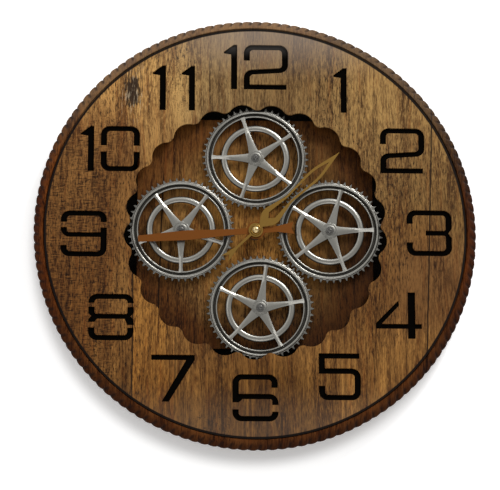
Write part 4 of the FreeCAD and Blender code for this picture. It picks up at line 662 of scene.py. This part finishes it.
def plain(name, base, fleck, amount, roughness, scale, strength=0.2, **more):
    material, net, shader = start_material(name)
    look = effect(net, "Surface grain", Vector=place_of(net, scale=scale), Base=base, Fleck=fleck,
                  Amount=amount, Roughness=roughness)
    finish_surface(net, shader, look["Color"], look, strength=strength, distance=0.0003, **more)
    return material


def dress(material, *nodes):
    for node in nodes:
        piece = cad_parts[node]
        if not piece.material_slots:
            piece.data.materials.append(material)
        for slot in piece.material_slots:
            slot.material = material


def wear(piece, material):
    piece.data.materials.clear()
    piece.data.materials.append(material)


# Operators

class CLOCK_OT_effects(bpy.types.Operator):
    """Build the shared wood, tarnish and surface effects"""
    bl_idname = "clock.effects"
    bl_label = "Shared effects"

    def execute(self, context):
        plank_group()
        tarnish_group()
        surface_group()
        return {"FINISHED"}


# The rim's section: radius and depth in mm, and how fully the lobes are cut there
RIM_PROFILE = (
    (283.3, 27.0, 0.0), (283.3, 41.0, 0.0), (287.0, 41.0, 0.0), (287.0, 44.3, 0.0), (287.5, 44.75, 0.0),
    (289.0, 44.3, 0.05), (291.0, 43.1, 0.2), (293.2, 41.5, 0.45), (295.4, 39.7, 0.7), (297.3, 38.1, 0.9),
    (298.8, 37.0, 1.0), (299.7, 35.9, 1.0), (300.0, 34.6, 1.0), (299.9, 33.4, 1.0), (299.2, 32.2, 0.9),
    (297.9, 31.0, 0.6), (296.4, 29.4, 0.3), (294.9, 27.4, 0.1), (293.8, 27.0, 0.0), (283.3, 27.0, 0.0))
LOBE_COLUMNS = 8


class CLOCK_OT_rim(bpy.types.Operator):
    """Turn the rim and work rounded, slightly slanted lobes into its outer edge"""
    bl_idname = "clock.rim"
    bl_label = "Scalloped rim"

    def execute(self, context):
        sizes = context.scene.clock_sizes
        segments = sizes.rim_lobes * LOBE_COLUMNS
        rim = turned("scalloped_rim", [row[:2] for row in RIM_PROFILE], segments, closed=True)
        activate(rim)
        bpy.ops.object.mode_set(mode="EDIT")
        bpy.ops.mesh.select_mode(type="VERT")
        pitch = 2 * math.pi / segments
        for number, (radius, depth, share) in enumerate(RIM_PROFILE[:-1]):
            if not share:
                continue
            lean = number // 2
            for column in range(LOBE_COLUMNS):
                height = math.sqrt(1 - (2 * column / LOBE_COLUMNS - 1) ** 2)
                if height == 1:
                    # the crest of the lobe stays
                    continue
                ratio = 1 - sizes.lobe_depth * share * (1 - height) / (radius * MM)

                def in_row(vert):
                    if abs(vert.co.y + depth * MM) > NEAR:
                        return False
                    if abs(math.hypot(vert.co.x, vert.co.z) - radius * MM) > NEAR:
                        return False
                    turn = round(math.atan2(vert.co.z, vert.co.x) / pitch)
                    return (turn + lean) % LOBE_COLUMNS == column

                select_where("VERT", in_row)
                bpy.ops.transform.resize(value=(ratio, 1, ratio), center_override=(0, -depth * MM, 0))
        outward()
        smooth(rim, degrees=50)
        wear(rim, rim_wood(context.scene.clock_colours, sizes.rim_lobes))
        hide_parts("outer_rim")
        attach(rim, "clock_case")
        return {"FINISHED"}


# The gears' sections, as radius and height above their backs
GEAR_BACK = 33.2
OUTER_RING = (
    (57.9, 0.7), (57.9, 2.8), (58.1, 3.7), (58.6, 4.2), (59.3, 4.3), (59.8, 4.0), (60.1, 3.2), (60.4, 2.2),
    (62.5, 2.0), (62.9, 2.9), (63.3, 4.2), (63.9, 5.2), (64.7, 5.8), (65.6, 5.85), (66.4, 5.4), (67.0, 4.6),
    (67.4, 3.7), (68.2, 3.4), (68.3, 3.1), (68.3, 0.9), (67.9, 0.5), (58.3, 0.5), (57.9, 0.7))
INNER_RING = (
    (38.5, 1.0), (38.5, 2.2), (38.8, 3.0), (39.5, 3.7), (40.8, 4.2), (42.3, 4.3), (43.8, 4.15), (45.3, 3.6),
    (46.4, 2.8), (47.0, 1.9), (47.0, 1.0), (46.7, 0.8), (38.8, 0.8), (38.5, 1.0))
HUB = (
    (11.4, 0.9), (11.4, 4.7), (10.6, 5.0), (9.2, 5.1), (8.4, 5.0), (7.9, 5.2), (7.4, 5.6), (6.4, 5.8),
    (3.2, 5.8), (3.05, 5.6), (3.05, 0.6), (11.0, 0.6), (11.4, 0.9))

# Tooth, in mm: radius and height of its middle, its sizes outward, through and across, how far its tip
# narrows, and its bevel
TOOTH_RADIUS, TOOTH_HEIGHT = 69.65, 2.6
TOOTH_SIZES = (5.6, 3.0, 4.8)
TOOTH_TIP = (0.8, 0.24)
TOOTH_BEVEL = 0.28

# Spoke, in mm: where it starts, how far it goes outward, height of its middle, thickness and first width;
# then its stations, how fast it tapers, how much its tip width grows towards the hub, as a share, and how
# much each side flares at the ring
SPOKE_START, SPOKE_LENGTH, SPOKE_HEIGHT, SPOKE_THICKNESS, SPOKE_WIDTH = 7.0, 53.0, 2.9, 2.6, 17.6
SPOKE_STATIONS = 8
SPOKE_TAPER = 2.4
SPOKE_SWELL = 0.3
SPOKE_FLARE = 1.2
# The ridge's rise at the hub, how much more it rises at the ring, and the height that parts front from back
RIDGE_RISE, RIDGE_GAIN, RIDGE_FROM = 0.9, 0.4, 3.5

# Each gear's solid, its body and how far its spokes are turned
TOP_GEAR_ANGLE = 107.0
GEARS = (
    ("top_gear", "top_gear_wheel", TOP_GEAR_ANGLE), ("left_gear", "left_gear_wheel", 54.0),
    ("right_gear", "right_gear_wheel", 74.4), ("bottom_gear", "bottom_gear_shaft", 82.0))

# The gears' centres, each in mesh with its neighbour
MESH_DISTANCE = 143.0
TOP_HEIGHT, SIDE_HEIGHT, BOTTOM_SHIFT = 103.5, 2.0, 6.4
SIDE_REACH = math.sqrt(MESH_DISTANCE ** 2 - (TOP_HEIGHT - SIDE_HEIGHT) ** 2)
BOTTOM_DROP = math.sqrt(MESH_DISTANCE ** 2 - (SIDE_REACH - BOTTOM_SHIFT) ** 2)
CENTRES = {
    "top_gear": (0.0, TOP_HEIGHT), "left_gear": (-SIDE_REACH, SIDE_HEIGHT),
    "right_gear": (SIDE_REACH, SIDE_HEIGHT), "bottom_gear": (BOTTOM_SHIFT, SIDE_HEIGHT - BOTTOM_DROP)}


def at_back(points):
    return [(radius, GEAR_BACK + depth) for radius, depth in points]


# A block at a radius and height over the gears' backs, left open for editing
def bar(name, radius, height, sizes):
    clear_selection()
    bpy.ops.mesh.primitive_cube_add(
        size=1, location=(radius * MM, -(GEAR_BACK + height) * MM, 0), scale=[side * MM for side in sizes])
    piece = settle(bpy.context.object, name)
    bpy.ops.object.mode_set(mode="EDIT")
    return piece


def gear_tooth():
    tooth = bar("tooth", TOOTH_RADIUS, TOOTH_HEIGHT, TOOTH_SIZES)
    bpy.ops.mesh.select_mode(type="FACE")
    select_where("FACE", lambda face: face.normal.x > FACING)
    bpy.ops.transform.resize(value=(1, *TOOTH_TIP))
    select_where("FACE", lambda face: face.normal.x < -FACING)
    bpy.ops.mesh.delete(type="FACE")
    # bevel the long edges, but not those of the open foot
    bpy.ops.mesh.select_mode(type="EDGE")
    select_where("EDGE", lambda edge: not edge.is_boundary and edge.calc_length() > MM)
    bpy.ops.mesh.bevel(offset=TOOTH_BEVEL * MM, segments=1, affect="EDGES")
    bpy.ops.object.mode_set(mode="OBJECT")
    return tooth


# One spoke: a tapered bar with a raised middle ridge, flared a little where it meets the ring
def spoke(sizes):
    middle = SPOKE_START + SPOKE_LENGTH / 2
    piece = bar("spoke", middle, SPOKE_HEIGHT, (SPOKE_LENGTH, SPOKE_THICKNESS, SPOKE_WIDTH))
    bpy.ops.mesh.select_mode(type="EDGE")

    def along(station):
        return (SPOKE_START + SPOKE_LENGTH * station / SPOKE_STATIONS) * MM

    # cuts across the bar at its stations and one along its middle
    for station in range(1, SPOKE_STATIONS):
        bpy.ops.mesh.select_all(action="SELECT")
        bpy.ops.mesh.bisect(plane_co=(along(station), 0, 0), plane_no=(1, 0, 0))
    bpy.ops.mesh.select_all(action="SELECT")
    bpy.ops.mesh.bisect(plane_co=(0, 0, 0), plane_no=(0, 0, 1))
    bpy.ops.mesh.select_mode(type="VERT")
    for station in range(SPOKE_STATIONS + 1):
        x = along(station)
        share = station / SPOKE_STATIONS
        half = sizes.spoke_root * (1 - share) ** SPOKE_TAPER
        half += sizes.spoke_tip * (1 + SPOKE_SWELL * (1 - share))
        if station == SPOKE_STATIONS:
            half += SPOKE_FLARE * MM
        select_where("VERT", lambda vert: abs(vert.co.x - x) < NEAR)
        width = 2 * half / (SPOKE_WIDTH * MM)
        bpy.ops.transform.resize(value=(1, 1, width), center_override=(x, 0, 0))
        select_where("VERT", lambda vert: abs(vert.co.x - x) < NEAR and abs(vert.co.z) < NEAR
                     and vert.co.y < -(GEAR_BACK + RIDGE_FROM) * MM)
        bpy.ops.transform.translate(value=(0, -(RIDGE_RISE + RIDGE_GAIN * share) * MM, 0))
    outward()
    return piece


# Turn each gear's teeth so that they stand in its neighbour's gaps
def tooth_angles(teeth):
    def mated(angle, one, other):
        a, b = CENTRES[one], CENTRES[other]
        direction = math.degrees(math.atan2(b[1] - a[1], b[0] - a[0]))
        phase = (teeth * (direction - angle) / 360) % 1
        return direction + 180 - (0.5 - phase) * 360 / teeth

    angles = {"top_gear": TOP_GEAR_ANGLE}
    for side in ("left_gear", "right_gear"):
        angles[side] = mated(TOP_GEAR_ANGLE, "top_gear", side)
    angles["bottom_gear"] = mated(angles["right_gear"], "right_gear", "bottom_gear")
    return angles


class CLOCK_OT_gears(bpy.types.Operator):
    """Model one spoked gear and set its copies at the four gear places"""
    bl_idname = "clock.gears"
    bl_label = "Spoked gears"

    def execute(self, context):
        sizes = context.scene.clock_sizes
        rings = turned("ring", at_back(OUTER_RING), segments=160, closed=True)
        inner = turned("inner", at_back(INNER_RING), segments=128, closed=True)
        hub = turned("hub", at_back(HUB), segments=64, closed=True)
        teeth = around(gear_tooth(), sizes.teeth)
        spokes = around(spoke(sizes), sizes.spokes)
        colours = context.scene.clock_colours
        bright = metal("gear casting", colours.pewter, colours.tarnish, low=35.6, high=37.6, shine=0.26)
        # the teeth and hub take a darker pewter than the casting; on the teeth it is painted shade, as they
        # lie low behind the rings
        worn = darker(colours.pewter, 0.62)
        dull = metal("gear teeth", worn, colours.tarnish, low=35.6, high=38.4, shine=0.38)
        for part, finish in ((rings, bright), (inner, bright), (spokes, bright), (hub, dull), (teeth, dull)):
            wear(part, finish)
        pattern = joined([rings, inner, hub, spokes], "gear_pattern")
        smooth(pattern, degrees=40)
        copies = [(*row, twin(pattern, row[0] + "_cast"), twin(teeth, row[0] + "_teeth")) for row in GEARS]
        phases = tooth_angles(sizes.teeth)
        for node, body, angle, gear, crown in copies:
            turn_about_axis(gear, angle)
            turn_about_axis(crown, phases[node])
            gear = joined([gear, crown], node + "_cast")
            shift(gear, *(part * MM for part in CENTRES[node]))
            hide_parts(node)
            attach(gear, body)
        activate(pattern, teeth)
        bpy.ops.object.delete()
        return {"FINISHED"}


# The collar's and nut's sections, as radius and depth
COLLAR = (
    (1.62, 47.62), (7.1, 47.62), (7.4, 47.8), (7.4, 48.1), (7.2, 48.4), (6.8, 48.62), (6.3, 48.7), (5.9, 48.6),
    (5.6, 48.35), (5.3, 48.25), (1.62, 48.25), (1.62, 47.62))
DOMED_NUT = (
    (1.65, 48.28), (4.0, 48.28), (4.3, 48.45), (4.3, 49.2), (4.18, 49.45), (3.9, 49.55), (3.75, 49.7),
    (3.7, 50.0), (3.5, 50.5), (3.1, 50.95), (2.5, 51.3), (1.7, 51.52), (0.9, 51.62), (0, 51.64))


class CLOCK_OT_hub(bpy.types.Operator):
    """Turn the collar and the domed nut that hold the hands"""
    bl_idname = "clock.hub"
    bl_label = "Hand hub"

    def execute(self, context):
        colours = context.scene.clock_colours
        collar = turned("hub_collar", COLLAR, segments=72, closed=True)
        smooth(collar, degrees=40)
        gold = metal("collar gold", colours.gold, (0.10, 0.045, 0.012), low=47.7, high=48.7, shine=0.24)
        wear(collar, gold)
        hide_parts("hand_collar")
        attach(collar, "minute_arbor")
        nut = turned("domed_nut", DOMED_NUT, segments=64)
        smooth(nut, degrees=35)
        brass = metal("nut brass", (0.86, 0.66, 0.33), (0.42, 0.26, 0.09), low=48.0, high=49.4, shine=0.12)
        wear(nut, brass)
        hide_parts("cap_nut")
        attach(nut, "minute_arbor")
        return {"FINISHED"}


# Plain finishes: name, base and fleck colours, amount of flecks, roughness, grain per metre along x, y and
# z, further settings, and the nodes that wear it
CASE_FINISHES = (
    ("band stain", (0.035, 0.018, 0.010), (0.075, 0.040, 0.022), 0.8, 0.6, (60, 400, 60), {}, "side_band"),
    ("softwood", (0.62, 0.42, 0.22), (0.42, 0.25, 0.11), 0.8, 0.7, (300, 40, 300), {},
     "front_blocks rear_blocks"),
    # the back board is near-black, as a black-painted back would be; where it shows through the gaps beside
    # the inset panel it also stands as painted shade
    ("stained board", (0.016, 0.013, 0.011), (0.040, 0.032, 0.025), 0.7, 0.8, (500, 500, 500),
     {"specular": 0.1}, "back_board"),
    ("moulded black", (0.022, 0.022, 0.023), (0.035, 0.035, 0.036), 0.7, 0.5, (900, 900, 900), {},
     "service_cover movement_case movement_plate drive_case drive_plate setting_knob"),
)
WORKS_FINISHES = (
    ("zinc steel", (0.55, 0.55, 0.56), (0.38, 0.38, 0.40), 0.6, 0.34, (300, 300, 300), {"metallic": 1.0},
     "hanger_plate hanger_rivets gear_axles axle_nuts movement_pivots stator movement_contacts drive_pivot "
     "drive_motor drive_contacts minute_shaft"),
    ("aged steel", (0.17, 0.165, 0.155), (0.07, 0.066, 0.060), 0.7, 0.42, (500, 500, 500), {"metallic": 1.0},
     "gear_washers gear_screws bottom_gear_screw bottom_gear_washer"),
    ("black zinc", (0.05, 0.05, 0.055), (0.11, 0.11, 0.12), 0.6, 0.4, (500, 500, 500), {"metallic": 1.0},
     "back_screws cover_screws"),
    ("turned brass", (0.74, 0.52, 0.22), (0.52, 0.34, 0.12), 0.6, 0.28, (300, 900, 300), {"metallic": 1.0},
     "movement_bushing bushing_nut drive_bushing drive_nut centre_wheel drive_rotor output_wheel"),
    ("rubber", (0.018, 0.018, 0.018), (0.032, 0.032, 0.032), 0.5, 0.75, (700, 700, 700), {},
     "bushing_washer"),
    ("nylon", (0.72, 0.71, 0.66), (0.60, 0.58, 0.52), 0.5, 0.38, (400, 400, 400), {},
     "rotor intermediate_wheel seconds_wheel third_wheel minute_work_wheel hour_wheel reduction_wheel "
     "drive_switch"),
    ("lacquered copper", (0.50, 0.19, 0.07), (0.22, 0.07, 0.025), 0.9, 0.3, (6, 2600, 2600),
     {"strength": 0.6, "metallic": 1.0}, "coil"),
    ("green lacquer", (0.015, 0.12, 0.04), (0.05, 0.22, 0.08), 0.6, 0.3, (260, 260, 260), {"coat": 0.5},
     "circuit_board"),
    ("cell wrap", (0.035, 0.10, 0.26), (0.06, 0.16, 0.34), 0.5, 0.32, (40, 500, 500), {"coat": 0.4},
     "movement_battery drive_battery"),
)


def dress_plainly(rows):
    for *looks, more, nodes in rows:
        dress(plain(*looks, **more), *nodes.split())


class CLOCK_OT_case(bpy.types.Operator):
    """Give the face, panel, band, boards and blocks their woods and black surfaces"""
    bl_idname = "clock.case"
    bl_label = "Case finishes"

    def execute(self, context):
        colours = context.scene.clock_colours
        dress(face_wood(colours), "face_panel")
        dress(panel_wood(colours), "inset_panel")
        dress(black_card(), "numeral_backing")
        dress_plainly(CASE_FINISHES)
        return {"FINISHED"}


class CLOCK_OT_hands(bpy.types.Operator):
    """Give the hands their bronze and gold"""
    bl_idname = "clock.hands"
    bl_label = "Hands"

    def execute(self, context):
        colours = context.scene.clock_colours
        bronze = metal("hour bronze", colours.bronze, (0.10, 0.030, 0.008), low=43.0, high=44.6, shine=0.46)
        dress(bronze, "hour_hand")
        gold = metal("minute gold", colours.gold, (0.15, 0.075, 0.018), low=46.0, high=47.4, shine=0.42)
        dress(gold, "minute_hand")
        return {"FINISHED"}


class CLOCK_OT_works(bpy.types.Operator):
    """Finish the movement, the gear drive and all fasteners"""
    bl_idname = "clock.works"
    bl_label = "Works and fasteners"

    def execute(self, context):
        dress_plainly(WORKS_FINISHES)
        return {"FINISHED"}


WALL_SIZE = 7
WALL_GAP = 0.0006
WALL_PAINT = (0.95, 0.95, 0.95, 1)
# The wall glows a little, and less in a ring close round the clock, which is a painted shadow, tight round
# it: the ring's middle, where the wall's glow begins and is full, the glow inside and what the wall adds
SHADOW_MIDDLE = (-0.006, -0.017)
SHADOW_EDGE = (0.284, 0.307)
SHADOW_GLOW, WALL_GLOW = 0.25, 0.38

# Lamps: name, place, size across and power
LAMPS = (
    ("key lamp", (1.3, -1.9, 2.2), 0.8, 46), ("fill lamp", (-2.0, -2.2, 0.7), 2.0, 7.5),
    ("low lamp", (0.2, -2.4, -1.9), 1.4, 5), ("rear lamp", (-1.2, 2.2, 1.4), 1.8, 22))

# The soft light all round, and how much of the white above and below the metals mirror
SOFT_COLOUR, SOFT_LIGHT = (1.0, 0.99, 0.97, 1), 0.38
MIRRORED = 0.9

# The camera stands a little to the left and below, in degrees, and aims left of and under the dial's middle
CAMERA_TURN, CAMERA_RISE = -2.4, -14.3
DIAL_MIDDLE = (0, -0.044, 0)
AIM_LEFT, AIM_DOWN = 0.0077, 0.0195
SENSOR_WIDTH = 36
LENS_PER_METRE = 53.28


# White paint that glows, with less glow as a painted shadow round the clock, seen from the front only
def wall_material():
    material, net = blank_material("white wall")
    paint = net.add("ShaderNodeBsdfDiffuse", {0: WALL_PAINT})
    across, _, up = net.parts(place_of(net))[:3]
    across = net.math("SUBTRACT", across, SHADOW_MIDDLE[0])
    up = net.math("SUBTRACT", up, SHADOW_MIDDLE[1])
    # clean is the wall's glow, low in the painted shadow ring round the clock
    clean = net.step(net.reach(across, up), *SHADOW_EDGE)
    clean = net.math("MULTIPLY_ADD", clean, WALL_GLOW, SHADOW_GLOW)
    glow = net.add("ShaderNodeEmission", {0: (1, 1, 1, 1), 1: clean})
    front = net.add("ShaderNodeAddShader", {0: paint.outputs[0], 1: glow.outputs[0]})
    clear = net.add("ShaderNodeBsdfTransparent")
    behind = net.add("ShaderNodeNewGeometry").outputs["Backfacing"]
    both = net.add("ShaderNodeMixShader", {0: behind, 1: front.outputs[0], 2: clear.outputs[0]})
    net.add("ShaderNodeOutputMaterial", {0: both.outputs[0]})
    return material


# White to the camera, a soft light for everything else, and white above and below for the metals
def studio_world():
    world = bpy.data.worlds.new("studio")
    world.use_nodes = True
    world.node_tree.nodes.clear()
    net = Net(world.node_tree)
    light_path = net.add("ShaderNodeLightPath").outputs
    seen = net.math("MAXIMUM", light_path["Is Camera Ray"], light_path["Is Transmission Ray"])
    upward = net.parts(net.add("ShaderNodeTexCoord").outputs["Generated"])[2]
    above = net.step(upward, 0.20, 0.80)
    below = net.times(net.step(upward, -0.10, -0.70), 0.9)
    glossy = net.times(net.math("MAXIMUM", above, below), light_path["Is Glossy Ray"])
    seen = net.math("MAXIMUM", seen, net.times(glossy, MIRRORED))
    soft = net.add("ShaderNodeBackground", {0: SOFT_COLOUR, 1: SOFT_LIGHT})
    white = net.add("ShaderNodeBackground", {0: (1, 1, 1, 1), 1: 1.0})
    mix = net.add("ShaderNodeMixShader", {0: seen, 1: soft.outputs[0], 2: white.outputs[0]})
    net.add("ShaderNodeOutputWorld", {0: mix.outputs[0]})
    return world


def lamp(name, place, size, power):
    clear_selection()
    bpy.ops.object.light_add(type="AREA", location=place)
    light = bpy.context.object
    light.name = name
    light.data.shape = "DISK"
    light.data.size = size
    light.data.energy = power
    light.rotation_euler = (-Vector(place)).to_track_quat("-Z", "Y").to_euler()


def camera(context):
    clear_selection()
    distance = context.scene.clock_sizes.camera_distance
    turn, rise = math.radians(CAMERA_TURN), math.radians(CAMERA_RISE)
    sight = Vector((math.sin(turn) * math.cos(rise), -math.cos(turn) * math.cos(rise), math.sin(rise)))
    facing = (-sight).to_track_quat("-Z", "Y")
    right = facing @ Vector((1, 0, 0))
    upward = facing @ Vector((0, 1, 0))
    aim = Vector(DIAL_MIDDLE) - right * AIM_LEFT - upward * AIM_DOWN
    bpy.ops.object.camera_add(location=aim + sight * distance, rotation=facing.to_euler())
    view = bpy.context.object
    view.name = "camera"
    view.data.sensor_width = SENSOR_WIDTH
    view.data.lens = LENS_PER_METRE * distance
    context.scene.camera = view


class CLOCK_OT_stage(bpy.types.Operator):
    """Set the wall, lamps, world and camera"""
    bl_idname = "clock.stage"
    bl_label = "Stage"

    def execute(self, context):
        clear_selection()
        bpy.ops.mesh.primitive_plane_add(
            size=WALL_SIZE, location=(0, WALL_GAP, 0), rotation=(math.pi / 2, 0, 0))
        wall = settle(bpy.context.object, "wall")
        wall.data.materials.append(wall_material())
        for row in LAMPS:
            lamp(*row)
        context.scene.world = studio_world()
        camera(context)
        context.scene.view_settings.view_transform = "Standard"
        return {"FINISHED"}


class CLOCK_PT_sidebar(bpy.types.Panel):
    """Lists the steps that build the clock"""
    bl_idname = "CLOCK_PT_sidebar"
    bl_label = "Gear Clock"
    bl_space_type = "VIEW_3D"
    bl_region_type = "UI"
    bl_category = "Gear Clock"

    def draw(self, context):
        for step in STEPS:
            self.layout.operator(step.bl_idname)


STEPS = (CLOCK_OT_effects, CLOCK_OT_stage, CLOCK_OT_case, CLOCK_OT_rim, CLOCK_OT_gears, CLOCK_OT_hands,
         CLOCK_OT_hub, CLOCK_OT_works)
CLASSES = (ClockSizes, ClockColours, *STEPS, CLOCK_PT_sidebar)


def register():
    for cls in CLASSES:
        bpy.utils.register_class(cls)
    bpy.types.Scene.clock_sizes = PointerProperty(type=ClockSizes)
    bpy.types.Scene.clock_colours = PointerProperty(type=ClockColours)


def unregister():
    del bpy.types.Scene.clock_colours
    del bpy.types.Scene.clock_sizes
    for cls in reversed(CLASSES):
        bpy.utils.unregister_class(cls)


def main():
    register()
    for step in STEPS:
        group, name = step.bl_idname.split(".")
        getattr(getattr(bpy.ops, group), name)()
    clear_selection()


if __name__ == "__main__":
    main()
